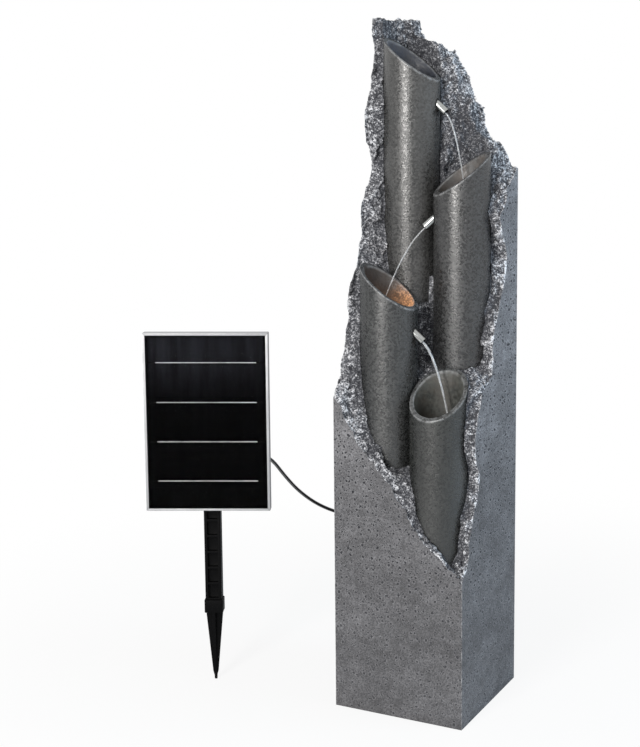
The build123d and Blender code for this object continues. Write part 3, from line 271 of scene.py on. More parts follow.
def makeCastStone():
    material, tree, shader = newMaterial("cast_stone_faces")
    point = objectPoint(tree)
    apart = separated(tree, point)
    # the faces unrolled: across both sides, and up
    across = calc(tree, "MULTIPLY_ADD", apart[1], castStone["sideShare"], apart[0])
    unrolled = addNode(tree, "CombineXYZ", {0: across, 1: apart[2]}).outputs[0]
    streaked = objectPoint(tree, stretch=(1.0, 1.0, 1.5))
    clouds = useGroup(tree, cloudsEffect, Vector=streaked, Scale=9.0, Low=0.80, High=1.18)
    patches = useGroup(tree, cloudsEffect, Vector=streaked, Scale=42.0, Low=0.84, High=1.14)
    grain = useGroup(tree, grainEffect, Vector=point, Scale=520.0, Contrast=0.5)
    large = useGroup(tree, pitsEffect, Vector=unrolled, Scale=120.0, Size=0.20, Share=0.85)
    small = useGroup(tree, pitsEffect, Vector=unrolled, Scale=230.0, Size=0.24, Share=0.55)
    # the stone's tone from clouds, patches and grain, with painted shade darker towards its bottom
    tone = scaled(tree, castStone["tint"], clouds["Tone"], patches["Tone"],
                  ramp(tree, grain["Value"], 0.0, 1.0, 0.82, 1.16),
                  ramp(tree, grain["Speck"], 0.0, 1.0, 0.74, 1.26), ramp(tree, apart[2], *castStone["lift"]))
    # painted highlights on the pits' rims, then painted shade inside the pits
    rims = calc(tree, "MAXIMUM", large["RimHighlight"], multiply(tree, small["RimHighlight"], castStone["smallRims"]))
    tone = mixColour(tree, multiply(tree, rims, castStone["rims"]), tone, castStone["rimTint"])
    holes = calc(tree, "MAXIMUM", large["Pit"], multiply(tree, small["Pit"], castStone["smallPits"]))
    holes = multiply(tree, holes, ramp(tree, apart[2], *castStone["clearer"]))
    tone = mixColour(tree, holes, tone, castStone["pitShadeTint"])
    near = column["half"] - castStone["wornWidth"]
    corner = multiply(tree, *[ramp(tree, calc(tree, "ABSOLUTE", apart[axis]), near, column["half"])
                              for axis in (0, 1)])
    broken = ramp(tree, noiseValue(tree, point, 60.0, 4.0, 0.7), 0.45, 0.62)
    worn = multiply(tree, ramp(tree, corner, 0.0, 0.6), broken, castStone["worn"])
    tone = mixColour(tree, worn, tone, castStone["wornTint"])
    bumps = calc(tree, "MULTIPLY_ADD", small["Height"], 0.5, large["Height"])
    bumps = calc(tree, "MULTIPLY_ADD", grain["Height"], 0.35, bumps)
    setInputs(tree, shader, {"Base Color": tone, "Roughness": castStone["rough"], "Specular IOR Level": 0.3})
    setBump(tree, shader, bumps, castStone["bump"])
    return material


# broken rock: dark grey, coarse salt-and-pepper grain, whitish peaks of paint and painted light, painted
# shade in hollows
brokenRock = {"dark": colour(0.052, 0.054, 0.062), "middle": colour(0.225, 0.229, 0.245),
              "pale": colour(0.74, 0.75, 0.78), "rough": 0.85, "bump": 0.0009,
              "level": 0.45, "paintedRelief": 0.75, "salt": 0.95, "dust": 0.35}


def makeBrokenRock():
    material, tree, shader = newMaterial("broken_rock_face")
    point = objectPoint(tree)
    coarse = useGroup(tree, grainEffect, Vector=point, Scale=540.0, Contrast=0.8)
    fine = useGroup(tree, grainEffect, Vector=point, Scale=700.0, Contrast=0.75)
    clouds = useGroup(tree, cloudsEffect, Vector=point, Scale=24.0, Low=-0.1, High=0.1)
    level = calc(tree, "ADD", clouds["Tone"], brokenRock["level"])
    # the painted relief: light on the peaks, shade in the hollows and beside the tubes
    layers = {"paintedRelief": painted(tree, "proud"), "salt": coarse["Speck"], "dust": fine["Value"]}
    for name, value in layers.items():
        level = calc(tree, "MULTIPLY_ADD", calc(tree, "SUBTRACT", value, 0.5), brokenRock[name], level)
    tone = mixColour(tree, ramp(tree, level, 0.1, 0.5), brokenRock["dark"], brokenRock["middle"])
    tone = mixColour(tree, ramp(tree, level, 0.5, 0.95), tone, brokenRock["pale"])
    bumps = calc(tree, "MULTIPLY_ADD", fine["Height"], 0.5, coarse["Height"])
    setInputs(tree, shader, {"Base Color": tone, "Roughness": brokenRock["rough"], "Specular IOR Level": 0.3})
    setBump(tree, shader, bumps, brokenRock["bump"])
    return material


def mouthNormal(tube):
    lean = math.radians(mouthSlope)
    return heading(tube["fall"]) * math.sin(lean) + Vector((0, 0, math.cos(lean)))


def mouthHeight(tube, x, y):
    normal = mouthNormal(tube)
    return tube["mouth"] - (normal.x * (x - tube["place"][0]) + normal.y * (y - tube["place"][1])) / normal.z


def fromAxis(tube, point):
    return Vector((point.x - tube["place"][0], point.y - tube["place"][1], 0))


def copyNodes(names, near=0.00002):
    bm = bmesh.new()
    for name in names:
        bm.from_mesh(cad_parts[name].data)
    bmesh.ops.remove_doubles(bm, verts=bm.verts, dist=near)
    return bm


def isWall(face, near=0.0001):
    # the joint between shell and core, inside the stone
    centre, normal = face.calc_center_median(), face.normal
    for axis in (0, 1):
        if abs(abs(centre[axis]) - column["inner"]) < near and abs(abs(normal[axis]) - 1) < near:
            return centre.z > column["deckLow"]
    return False


def onBore(tube, point, near):
    return abs(fromAxis(tube, point).length - column["boreRadius"]) < near


def sortFaces(bm, near=0.0004, upright=0.02, flatness=0.00002):
    # 0 cast face, 1 broken rock, 2 a tube's seat
    for face in bm.faces:
        centre = face.calc_center_median()
        face.material_index = 0
        if centre.z < column["rockLow"]:
            continue
        seat = any(all(onBore(tube, v.co, near) for v in face.verts) and abs(face.normal.z) < upright
                   for tube in tubes)
        flat = max(abs(part) for part in face.normal) > 1 - flatness
        if seat:
            face.material_index = 2
        elif not flat or centre.z > column["top"] - near:
            face.material_index = 1


def openSeats(bm, near=0.0006, cut=0.00005):
    # a seat above its tube's mouth is broken rock too
    for tube in tubes:
        seat = [f for f in bm.faces
                if f.material_index == 2 and all(onBore(tube, v.co, near) for v in f.verts)]
        parts = set(seat) | {e for f in seat for e in f.edges} | {v for f in seat for v in f.verts}
        middle = Vector((*tube["place"], tube["mouth"]))
        bmesh.ops.bisect_plane(bm, geom=list(parts), plane_co=middle, plane_no=mouthNormal(tube), dist=cut)
        for face in bm.faces:
            centre = face.calc_center_median()
            if (face.material_index == 2 and onBore(tube, centre, near)
                    and centre.z > mouthHeight(tube, centre.x, centre.y)):
                face.material_index = 1


def triangulate(bm):
    wide = [f for f in bm.faces if len(f.verts) > 3]
    bmesh.ops.triangulate(bm, faces=wide, quad_method="BEAUTY", ngon_method="BEAUTY")


def refine(bm, longest, rounds=12):
    for turn in range(rounds):
        edges = {e for f in bm.faces if f.material_index == 1 for e in f.edges}
        long = [e for e in edges if e.calc_length() > longest]
        if not long:
            break
        bmesh.ops.subdivide_edges(bm, edges=long, cuts=1)
        triangulate(bm)


def makeColumn():
    bm = copyNodes(["column_shell", "rock_core"])
    bmesh.ops.bisect_plane(bm, geom=bm.verts[:] + bm.edges[:] + bm.faces[:], plane_no=(0, 0, 1),
                           plane_co=(0, 0, column["deckLow"]), dist=column["cut"])
    bmesh.ops.delete(bm, geom=[f for f in bm.faces if isWall(f)], context="FACES")
    bmesh.ops.remove_doubles(bm, verts=bm.verts, dist=column["weld"])
    triangulate(bm)
    sortFaces(bm)
    openSeats(bm)
    triangulate(bm)
    refine(bm, column["grain"])
    print("column refined:", len(bm.faces), "faces, open edges", sum(e.is_boundary for e in bm.edges))
    flats = [e for e in bm.edges
             if len(e.link_faces) == 2 and all(f.material_index == 0 for f in e.link_faces)]
    bmesh.ops.dissolve_limit(bm, angle_limit=math.radians(column["flatDegrees"]), verts=[], edges=flats,
                             delimit={"MATERIAL"})
    loose = [v for v in bm.verts if not v.link_faces]
    bmesh.ops.delete(bm, geom=loose, context="VERTS")
    shapeRock(bm)
    return bm


# hollows in the rock that are deeper than the solid's, and the share of their height that is kept
pockets = [{"place": (-0.022, -0.001), "reach": (0.040, 0.028), "low": 0.575, "high": 0.68, "keep": 0.15},
           {"place": (-0.008, -0.070), "reach": (0.028, 0.025), "low": 0.345, "high": 0.42, "keep": 0.35}]
# the broken top is lower than the solid's, with steps along its back: place across, half width and rise
crown = {"low": 0.86, "high": 0.96, "drop": 0.0075, "stepsFront": 0.045, "stepsLow": 0.76,
         "steps": ((0.005, 0.014, 0.011), (0.036, 0.010, 0.006), (0.074, 0.011, 0.009))}
rock = {"lumps": ((34, 0.0046, (3, 7, 1)), (150, 0.0032, (11, 2, 5)), (330, 0.0009, (1, 17, 9))),
        "ridges": (60, 0.0060, (5, 10, 15)),  # like a lump: fineness, height, and place in the noise
        "ridgeOctaves": 2, "smoothing": 5, "inset": 0.0008,
        "wander": ((70, 0.0034), (240, 0.0019)), "wanderStep": 9}  # of the broken edge: fineness and reach
# tones carried by the rock: painted light on its peaks, painted shade in its hollows and near the tubes (how
# much, how far)
rockTone = {"levelling": 5, "peak": 0.0022, "middle": 0.54, "contrast": 0.5, "edge": 0.8,
            "shades": ((0.38, 0.018), (0.2, 0.045))}


def kindsAt(v):
    return {f.material_index for f in v.link_faces}


def sinkPocket(bm, pocket):
    for v in bm.verts:
        away = math.hypot(*[(v.co[axis] - pocket["place"][axis]) / pocket["reach"][axis] for axis in (0, 1)])
        if pocket["low"] < v.co.z < pocket["high"] and away < 1 and kindsAt(v) & {0, 1} == {1}:
            v.co.z = pocket["low"] + (v.co.z - pocket["low"]) * pocket["keep"]


def lowerCrown(bm):
    for v in bm.verts:
        kinds = kindsAt(v)
        if 1 in kinds and 2 not in kinds:
            share = clamp((v.co.z - crown["low"]) / (crown["high"] - crown["low"]))
            v.co.z -= crown["drop"] * share * share * (3 - 2 * share)
            depth = (v.co.y - crown["stepsFront"]) / (column["half"] - crown["stepsFront"])
            if depth > 0 and v.co.z > crown["stepsLow"]:
                v.co.z += sum(rise * depth * max(0.0, 1 - (abs(v.co.x - place) / half) ** 3)
                              for place, half, rise in crown["steps"])


def roughOffset(point):
    scale, height, shift = rock["ridges"]
    offset = height * (noise.turbulence(point * scale + Vector(shift), rock["ridgeOctaves"], True) - 0.5)
    for scale, height, shift in rock["lumps"]:
        offset += height * noise.noise(point * scale + Vector(shift))
    return offset


def wander(point):
    step = rock["wanderStep"]
    shifts = (Vector((0, 0, 0)), Vector((step, 0, 0)), Vector((0, step, 0)))
    moves = [Vector([noise.noise(point * scale + shift) for shift in shifts]) * reach
             for scale, reach in rock["wander"]]
    return sum(moves, Vector())


def keepClear(points, margin=0.0, gap=0.002):
    # out of the tubes, and inside the column's own box
    half = column["half"] - margin
    for v in points:
        for tube in tubes:
            out = fromAxis(tube, v.co)
            if out.length < column["boreRadius"] and v.co.z < mouthHeight(tube, v.co.x, v.co.y) + gap:
                v.co += out.normalized() * (column["boreRadius"] - out.length)
        v.co.x = clamp(v.co.x, -half, half)
        v.co.y = clamp(v.co.y, -half, half)
        v.co.z = min(column["top"], v.co.z)


def paintReliefShade(points, layer):
    # how far each point stands out of its surroundings, less painted shade near the tubes: the rock's painted
    # light and shade
    level = {v: v.co.copy() for v in points}
    for turn in range(rockTone["levelling"]):
        level = {v: sum((level.get(e.other_vert(v), e.other_vert(v).co) for e in v.link_edges),
                        Vector()) / len(v.link_edges) for v in level}
    for v in points:
        stand = (v.co - level[v]).dot(v.normal) / rockTone["peak"]
        near = min(fromAxis(tube, v.co).length for tube in tubes) - column["boreRadius"]
        # painted shade on the rock close to each tube
        shade = sum(share * (1 - clamp(near / reach)) for share, reach in rockTone["shades"])
        v[layer] = clamp(rockTone["middle"] + rockTone["contrast"] * stand - shade)


def shapeRock(bm):
    for pocket in pockets:
        sinkPocket(bm, pocket)
    lowerCrown(bm)
    reliefShadeLayer = bm.verts.layers.float.new("proud")
    inside = [v for v in bm.verts if kindsAt(v) == {1}]
    border = [v for v in bm.verts if kindsAt(v) == {0, 1}]
    for turn in range(rock["smoothing"]):
        bmesh.ops.smooth_vert(bm, verts=inside, factor=0.5, use_axis_x=True, use_axis_y=True, use_axis_z=True)
    bm.normal_update()
    for v in inside:
        v.co += v.normal * roughOffset(v.co)
    for v in border:
        slide = wander(v.co)
        for face in v.link_faces:
            if face.material_index == 0:
                slide -= face.normal * slide.dot(face.normal)
        v.co += slide
    keepClear(inside, rock["inset"])
    keepClear(border)
    bm.normal_update()
    paintReliefShade(inside, reliefShadeLayer)
    for v in border:
        v[reliefShadeLayer] = rockTone["edge"]


def addPiece(name, bm, materials, body="root", replaces=(), smooth=True):
    # with smooth None the faces stay as they are
    mesh = bpy.data.meshes.new(name)
    if smooth is not None:
        for face in bm.faces:
            face.smooth = smooth
    bm.to_mesh(mesh)
    bm.free()
    for material in materials:
        mesh.materials.append(material)
    piece = addObject(name, mesh)
    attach(piece, body)
    if replaces:
        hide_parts(*replaces)


def buildColumn():
    bm = makeColumn()
    for face in bm.faces:
        face.smooth = face.material_index != 0
    for edge in bm.edges:
        edge.smooth = len({f.material_index for f in edge.link_faces}) == 1
    print("column:", len(bm.faces), "faces")
    seat = moulded("tube_seat", (0.04, 0.04, 0.042), 0.8, 500.0, 0.0003)
    addPiece("column_stone", bm, [makeCastStone(), makeBrokenRock(), seat],
             replaces=("column_shell", "rock_core"), smooth=None)


buildColumn()


# the four tubes: dark mineral surface with a soft sheen and pale worn rims; lower tubes tinted darker as
# painted shade
tubeLook = [{"tint": (0.038, 0.038, 0.037), "inner": (0.034, 0.039, 0.052), "stain": 0.0, "sheen": 0.9},
            {"tint": (0.024, 0.024, 0.0245), "inner": (0.066, 0.065, 0.064), "stain": 0.22, "sheen": 1.0},
            {"tint": (0.023, 0.024, 0.024), "inner": (0.016, 0.014, 0.0135), "stain": 0.12, "sheen": 1.0},
            {"tint": (0.014, 0.015, 0.014), "inner": (0.044, 0.047, 0.042), "stain": 0.15, "sheen": 0.85}]
tubeFinish = {"stainTint": colour(0.12, 0.075, 0.045), "rimTint": colour(0.40, 0.41, 0.42), "rims": 0.42,
              "shine": (0.16, 0.46), "innerRough": 0.3, "bump": 0.0004}
tubeShape = {"radius": 0.0415, "cupRadius": 0.0325, "foot": 0.21, "sides": 112, "rows": 44, "rowGap": 0.004,
             "rim": 0.0011, "rimSegments": 3, "rimCuts": 4, "mouthTone": 0.5,
             "waver": 0.0002, "wavers": ((40, 0.6), (160, 0.4)),
             "nearRim": (0.0035, 0.009, 0.016), "flare": 0.0032, "flareDepth": 0.018}
# the lamp's light on the third cup's wall, painted as a glow in the tube's own material
glow = {"cup": 2, "place": (-0.014, -0.022, 0.590), "near": 0.008, "far": 0.052,
        "tint": (1.0, 0.49, 0.23), "strength": 1.0}


def addGlow(tree, shader, point, inner):
    # painted light: an orange glow with sparkles on the cup's inner wall, fading away from the lamp
    away = addNode(tree, "VectorMath", {0: point, 1: glow["place"]}, operation="DISTANCE").outputs["Value"]
    lit = ramp(tree, away, glow["near"], glow["far"], 1.0, 0.0)
    sparkle = ramp(tree, noiseValue(tree, point, 420.0, 3.0, 0.7), 0.42, 0.68, 0.22, 1.0)
    lit = multiply(tree, lit, sparkle, inner)
    setInputs(tree, shader, {"Emission Color": scaled(tree, glow["tint"], lit),
                             "Emission Strength": glow["strength"]})


def makeTubeStone(index):
    look = tubeLook[index]
    material, tree, shader = newMaterial(f"tube_stone_{index + 1}")
    point = objectPoint(tree)
    inner, rim = painted(tree, "inner"), painted(tree, "rim")
    grain = useGroup(tree, grainEffect, Vector=point, Scale=400.0, Contrast=0.7)
    coarse = useGroup(tree, grainEffect, Vector=point, Scale=150.0, Contrast=0.4)
    drawnOut = objectPoint(tree, stretch=(1.0, 1.0, 0.35))
    clouds = useGroup(tree, cloudsEffect, Vector=drawnOut, Scale=26.0, Low=0.80, High=1.2)
    base = mixColour(tree, inner, colour(*look["tint"]), colour(*look["inner"]))
    tone = scaled(tree, base, clouds["Tone"], ramp(tree, grain["Speck"], 0.0, 1.0, 0.72, 1.32),
                  ramp(tree, coarse["Value"], 0.0, 1.0, 0.88, 1.14))
    stain = ramp(tree, noiseValue(tree, point, 45.0, 4.0, 0.65), 0.35, 0.65, 0.0, look["stain"])
    tone = mixColour(tree, multiply(tree, inner, stain), tone, tubeFinish["stainTint"])
    broken = ramp(tree, noiseValue(tree, point, 120.0, 4.0, 0.7), 0.35, 0.62)
    tone = mixColour(tree, multiply(tree, rim, broken, tubeFinish["rims"]), tone, tubeFinish["rimTint"])
    shine = ramp(tree, grain["Speck"], 0.0, 1.0, *tubeFinish["shine"])
    shine = calc(tree, "MULTIPLY_ADD", inner, tubeFinish["innerRough"], shine)
    setInputs(tree, shader, {"Base Color": tone, "Roughness": shine, "Specular IOR Level": look["sheen"]})
    bumps = calc(tree, "MULTIPLY_ADD", coarse["Height"], 0.5, grain["Height"])
    bumps = calc(tree, "MULTIPLY_ADD", grain["Speck"], 0.12, bumps)
    setBump(tree, shader, bumps, tubeFinish["bump"])
    if index == glow["cup"]:
        addGlow(tree, shader, point, inner)
    return material


def innerRadius(depth):
    # the bore opens out towards the mouth
    share = min(1.0, depth / tubeShape["flareDepth"])
    return tubeShape["cupRadius"] + tubeShape["flare"] * (1 - share) ** 2


def tubeProfile(tube):
    # up the outside, over the rim, down the inside and back: radius, and share of the way up
    outer, length = tubeShape["radius"] - tubeShape["waver"], tube["mouth"] - tubeShape["foot"]
    rows, cuts = tubeShape["rows"], tubeShape["rimCuts"]
    near = sorted(1 - depth / length for depth in tubeShape["nearRim"])
    below = [row / rows for row in range(1, rows) if row / rows < near[0] - tubeShape["rowGap"]]
    shares = below + near + [1.0]
    inner = [(innerRadius((1 - share) * length), share) for share in reversed(shares)]
    over = [(outer + (inner[0][0] - outer) * cut / (cuts + 1), 1.0) for cut in range(1, cuts + 1)]
    return [(outer, share) for share in shares] + over + inner + [(tubeShape["cupRadius"], 0.0), (outer, 0.0)]


def extrudeRing(bm, edges):
    made = bmesh.ops.extrude_edge_only(bm, edges=edges)["geom"]
    verts = {g for g in made if isinstance(g, bmesh.types.BMVert)}
    return verts, [g for g in made if isinstance(g, bmesh.types.BMEdge) and set(g.verts) <= verts]


def buildTube(index):
    tube, foot = tubes[index], tubeShape["foot"]
    bm = bmesh.new()
    rimLayer = bm.verts.layers.float.new("rim")
    innerLayer = bm.verts.layers.float.new("inner")
    profile = tubeProfile(tube)
    bmesh.ops.create_circle(bm, segments=tubeShape["sides"], radius=profile[0][0],
                            matrix=Matrix.Translation((*tube["place"], foot)))
    edges = bm.edges[:]
    rim = []
    for radius, share in profile:
        verts, edges = extrudeRing(bm, edges)
        for v in verts:
            out = fromAxis(tube, v.co).normalized() * radius
            v.co.x, v.co.y = tube["place"][0] + out.x, tube["place"][1] + out.y
            v.co.z = foot + (mouthHeight(tube, v.co.x, v.co.y) - foot) * share
            v[innerLayer] = 1.0 if radius <= innerRadius(0) else 0.0
            v[rimLayer] = tubeShape["mouthTone"] if share == 1.0 else 0.0
        if share == 1.0 and radius in (profile[0][0], innerRadius(0)):
            rim += edges
    bmesh.ops.remove_doubles(bm, verts=bm.verts, dist=0.00001)
    bmesh.ops.recalc_face_normals(bm, faces=bm.faces)
    made = bmesh.ops.bevel(bm, geom=rim, offset=tubeShape["rim"], segments=tubeShape["rimSegments"],
                           profile=0.5, affect="EDGES", material=-1, clamp_overlap=True)
    for v in made["verts"]:
        v[rimLayer] = 1.0
    bm.normal_update()
    for v in bm.verts:
        waver = sum(noise.noise(v.co * scale) * share for scale, share in tubeShape["wavers"])
        v.co += v.normal * waver * tubeShape["waver"]
    addPiece(f"tube_{index + 1}", bm, [makeTubeStone(index)],
             replaces=(f"cascade_tube_{index + 1}",))


for index in range(len(tubes)):
    buildTube(index)
print("tubes built")


# the spouts: bright steel pipes with painted shade in their bores, each in a low seal on its tube
spout = {"radius": 0.0057, "bore": 0.0047, "back": 0.0125, "reach": 0.0228, "edge": 0.0003, "sides": 40,
         "midWall": 0.037, "slope": 40.0, "falls": (0.0, 213.0, 0.0), "heights": (0.8728, 0.7098, 0.5508)}
seal = {"radius": 0.0072, "proud": 0.0011, "sunk": 0.004, "lip": 0.0006, "lipFall": 0.0001, "round": 0.0002}


def spoutFrame(index):
    # its X runs down the spout and starts half way through the tube's wall
    tube, fall = tubes[index], spout["falls"][index]
    start = Vector((*tube["place"], spout["heights"][index])) + heading(fall) * spout["midWall"]
    return (Matrix.Translation(start) @ Matrix.Rotation(math.radians(fall), 4, "Z")
            @ Matrix.Rotation(math.radians(spout["slope"]), 4, "Y"))


def turnProfile(bm, profile):
    # a ring drawn round a closed profile of radius and run, about X
    upright = Matrix.Translation((profile[0][1], 0, 0)) @ Matrix.Rotation(math.radians(90), 4, "Y")
    made = bmesh.ops.create_circle(bm, segments=spout["sides"], radius=profile[0][0], matrix=upright)
    verts = list(made["verts"])
    edges = list({e for v in verts for e in v.link_edges})
    for radius, run in profile[1:] + profile[:1]:
        fresh, edges = extrudeRing(bm, edges)
        for v in fresh:
            out = Vector((0, v.co.y, v.co.z)).normalized() * radius
            v.co = (run, out.y, out.z)
        verts += fresh
    bmesh.ops.remove_doubles(bm, verts=verts, dist=0.000001)
    return [v for v in verts if v.is_valid]


def markSharp(bm, degrees=40):
    for edge in bm.edges:
        edge.smooth = not edge.is_manifold or edge.calc_face_angle(0) < math.radians(degrees)


def runToTube(index, place, v):
    # how far along the spout a line at this point leaves the tube
    start = fromAxis(tubes[index], place @ Vector((0, v.co.y, v.co.z)))
    way = place.to_3x3() @ Vector((1, 0, 0))
    way.z = 0
    across = start.dot(way)
    short = way.length_squared * (start.length_squared - tubeShape["radius"] ** 2)
    return (-across + math.sqrt(across ** 2 - short)) / way.length_squared


def buildSpout(index):
    radius, bore, edge = spout["radius"], spout["bore"], spout["edge"]
    back, reach = -spout["back"], spout["reach"]
    profile = [(radius, back), (radius, reach - edge), (radius - edge / 3, reach - edge / 3),
               (radius - edge, reach), (bore + edge, reach), (bore + edge / 3, reach - edge / 3),
               (bore, reach - edge), (bore, back)]
    place = spoutFrame(index)
    bm = bmesh.new()
    turnProfile(bm, profile)
    bmesh.ops.transform(bm, matrix=place, verts=bm.verts)
    bmesh.ops.recalc_face_normals(bm, faces=bm.faces)
    # the bore's faces take the near-black steel: painted shade inside the pipe
    for face in bm.faces:
        centre = place.inverted() @ face.calc_center_median()
        face.material_index = 1 if math.hypot(centre.y, centre.z) < bore + edge / 2 else 0
    markSharp(bm)
    addPiece(f"spout_pipe_{index + 1}", bm, [brightSteel, shadedBore],
             replaces=(f"spout_{index + 1}",))


def buildSeals():
    inner, outer, proud, sunk = spout["radius"], seal["radius"], seal["proud"], -seal["sunk"]
    soft = seal["round"]
    profile = [(inner, sunk), (inner, proud), (inner + seal["lip"], proud - seal["lipFall"]),
               (outer - soft, soft), (outer, -2 * soft), (outer, sunk)]
    bm = bmesh.new()
    for index in range(len(spout["falls"])):
        place = spoutFrame(index)
        ring = turnProfile(bm, profile)
        for v in ring:
            v.co.x += runToTube(index, place, v)
        bmesh.ops.transform(bm, matrix=place, verts=ring)
    bmesh.ops.recalc_face_normals(bm, faces=bm.faces)
    markSharp(bm)
    addPiece("spout_seals", bm, [blackRubber], replaces=("spout_grommets",))


brightSteel = drawnMetal("spout_bright_steel", (0.42, 0.43, 0.42), 0.17, (300.0, 300.0, 300.0))
# near-black steel for the bore: painted shade inside the pipe
shadedBore = drawnMetal("spout_shaded_bore", (0.03, 0.03, 0.03), 0.5, (300.0, 300.0, 300.0))
blackRubber = moulded("rubber_black", (0.014, 0.014, 0.014), 0.62, 700.0, 0.00012, sheen=0.2)
for index in range(len(spout["falls"])):
    buildSpout(index)
buildSeals()
print("spouts set")


# water: a still body in each cup, and three falling streams
water = {"levels": (0.8808, 0.7178, 0.5588, 0.4054), "floors": (0.8308, 0.6678, 0.5088, 0.3708),
         "floorGap": 0.0002, "radius": 0.0323, "rings": 14, "sides": 72,
         "ripple": 0.00045, "wave": 0.0065, "calming": 0.012, "ior": 1.33}
streams = [{"start": (0.0095, 0.045, 0.8561), "way": 0.0, "speed": 0.30,
            "cup": 1, "wide": 1.0, "turns": 1.2},
           {"start": (-0.0047, 0.0018, 0.6931), "way": 213.0, "speed": 0.73,
            "cup": 2, "wide": 1.0, "turns": 1.2},
           {"start": (0.0125, -0.0385, 0.5341), "way": 0.0, "speed": 0.42,
            "cup": 3, "wide": 1.6, "turns": 2.8}]
streamShape = {"strands": 3, "steps": 26, "radius": 0.0008, "gravity": 9.81, "lead": 0.008,
               "twist": 0.0006, "twistStart": 1.25, "twistLoss": 0.6, "twistDepth": 0.7,
               "stray": 0.0007, "strayScale": 9, "thinning": 0.3,
               "beads": 0.2, "beadScale": 14, "beadShift": 7, "around": 3, "along": 4}
# falling water is full of air, so it is whiter and less clear than the water in the cups
waterLooks = [{"name": "clear_water", "tint": (0.96, 0.98, 1.0), "tones": (0.9, 1.0), "rough": 0.02,
               "clear": 1.0, "stretch": (1.0, 1.0, 1.0), "scale": 240.0, "detail": 2.0, "bump": 0.0004},
              {"name": "falling_water", "tint": (0.88, 0.90, 0.92), "tones": (0.62, 1.0), "rough": 0.08,
               "clear": 0.5, "stretch": (1.0, 1.0, 0.25), "scale": 700.0, "detail": 3.0, "bump": 0.0003}]


def makeWater(look):
    material, tree, shader = newMaterial(look["name"])
    pattern = noiseValue(tree, objectPoint(tree, stretch=look["stretch"]), look["scale"], look["detail"])
    setInputs(tree, shader, {
        "Base Color": scaled(tree, look["tint"], ramp(tree, pattern, 0.3, 0.7, *look["tones"])),
        "Roughness": look["rough"], "IOR": water["ior"], "Transmission Weight": look["clear"]})
    setBump(tree, shader, pattern, look["bump"])
    return material


clearWater, fallingWater = [makeWater(look) for look in waterLooks]


def streamPoint(stream, share):
    start, slope, pull = Vector(stream["start"]), math.radians(spout["slope"]), streamShape["gravity"]
    down = stream["speed"] * math.sin(slope)
    drop = start.z - water["levels"][stream["cup"]]
    time = share * (-down + math.sqrt(down ** 2 + 2 * pull * drop)) / pull
    out = heading(stream["way"]) * (stream["speed"] * math.cos(slope) * time)
    return start + out - Vector((0, 0, down * time + pull * time ** 2 / 2))


def buildWater(index):
    tube, level = tubes[index], water["levels"][index]
    place = landing = Vector((*tube["place"], level))
    for stream in streams:
        if stream["cup"] == index:
            landing = streamPoint(stream, 1.0)
    bm = bmesh.new()
    bmesh.ops.create_circle(bm, cap_ends=True, segments=water["sides"], radius=water["radius"],
                            matrix=Matrix.Translation(place))
    rimEdges = bm.edges[:]
    step = water["radius"] / (water["rings"] + 1)
    faces = bm.faces[:]
    for ring in range(water["rings"]):
        bmesh.ops.inset_region(bm, faces=faces, thickness=step, use_even_offset=True)
    for v in bm.verts:
        away = (v.co - landing).length
        fade = 1 / (1 + away / water["calming"])
        v.co.z += water["ripple"] * fade * math.cos(away / water["wave"] * 2 * math.pi)
    lower, bottom = extrudeRing(bm, rimEdges)
    for v in lower:
        v.co.z = water["floors"][index] + water["floorGap"]
    bmesh.ops.contextual_create(bm, geom=bottom)
    bmesh.ops.recalc_face_normals(bm, faces=bm.faces)
    addPiece(f"water_{index + 1}", bm, [clearWater])


def newCurve(name, radius, around, along, material):
    curve = bpy.data.curves.new(name, "CURVE")
    curve.dimensions = "3D"
    curve.bevel_depth = radius
    curve.bevel_resolution = around
    curve.resolution_u = along
    curve.use_fill_caps = True
    curve.materials.append(material)
    return curve


def addSpline(curve, points, widths=None):
    spline = curve.splines.new("NURBS")
    spline.points.add(len(points) - 1)
    for spot, point, width in zip(spline.points, points, widths or [1.0] * len(points)):
        spot.co = (*point, 1.0)
        spot.radius = width
    spline.order_u = 3
    spline.use_endpoint_u = True


def buildStream(index):
    stream, shape = streams[index], streamShape
    curve = newCurve(f"stream_{index + 1}", shape["radius"] * stream["wide"], shape["around"], shape["along"],
                     fallingWater)
    front, side = heading(stream["way"]), heading(stream["way"] + 90)
    slope = math.radians(spout["slope"])
    upPipe = Vector((0, 0, math.sin(slope))) - front * math.cos(slope)
    inPipe = Vector(stream["start"]) + upPipe * shape["lead"]
    for strand in range(shape["strands"]):
        points, widths = [inPipe], [1.0]
        for step in range(shape["steps"] + 1):
            share = step / shape["steps"]
            turn = 2 * math.pi * (strand / shape["strands"] + stream["turns"] * share)
            spread = shape["twist"] * stream["wide"] * (shape["twistStart"] - shape["twistLoss"] * share)
            stray = noise.noise(Vector((share * shape["strayScale"], strand, index))) * shape["stray"] * share
            bead = noise.noise(Vector((share * shape["beadScale"], strand, shape["beadShift"])))
            points.append(streamPoint(stream, share) + side * (spread * math.cos(turn) + stray)
                          + front * spread * math.sin(turn) * shape["twistDepth"])
            widths.append(1.0 - shape["thinning"] * share + shape["beads"] * bead)
        addSpline(curve, points, widths)
    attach(addObject(f"stream_{index + 1}", curve), "root")


for index in range(len(tubes)):
    buildWater(index)
for index in range(len(streams)):
    buildStream(index)
print("water poured")


# the solar cable: a hanging stretch, a coil put away behind the column, and a tail up to the gland
solar = {"place": (-0.311, -0.0953), "turn": 24.9}
cable = {"diameter": 0.0052, "length": 2.9, "tint": (0.006, 0.006, 0.0065), "around": 4, "along": 5,
         "coilPlace": (-0.020, 0.150), "coilRadius": 0.0375, "pitch": 0.0057, "turns": 3, "layers": 4,
         "wider": 0.6, "floor": 0.0027, "halfTurnPoints": 8}


def fromSolar(across, back, up):
    turn = math.radians(solar["turn"])
    return (solar["place"][0] + across * math.cos(turn) - back * math.sin(turn),
            solar["place"][1] + across * math.sin(turn) + back * math.cos(turn), up)


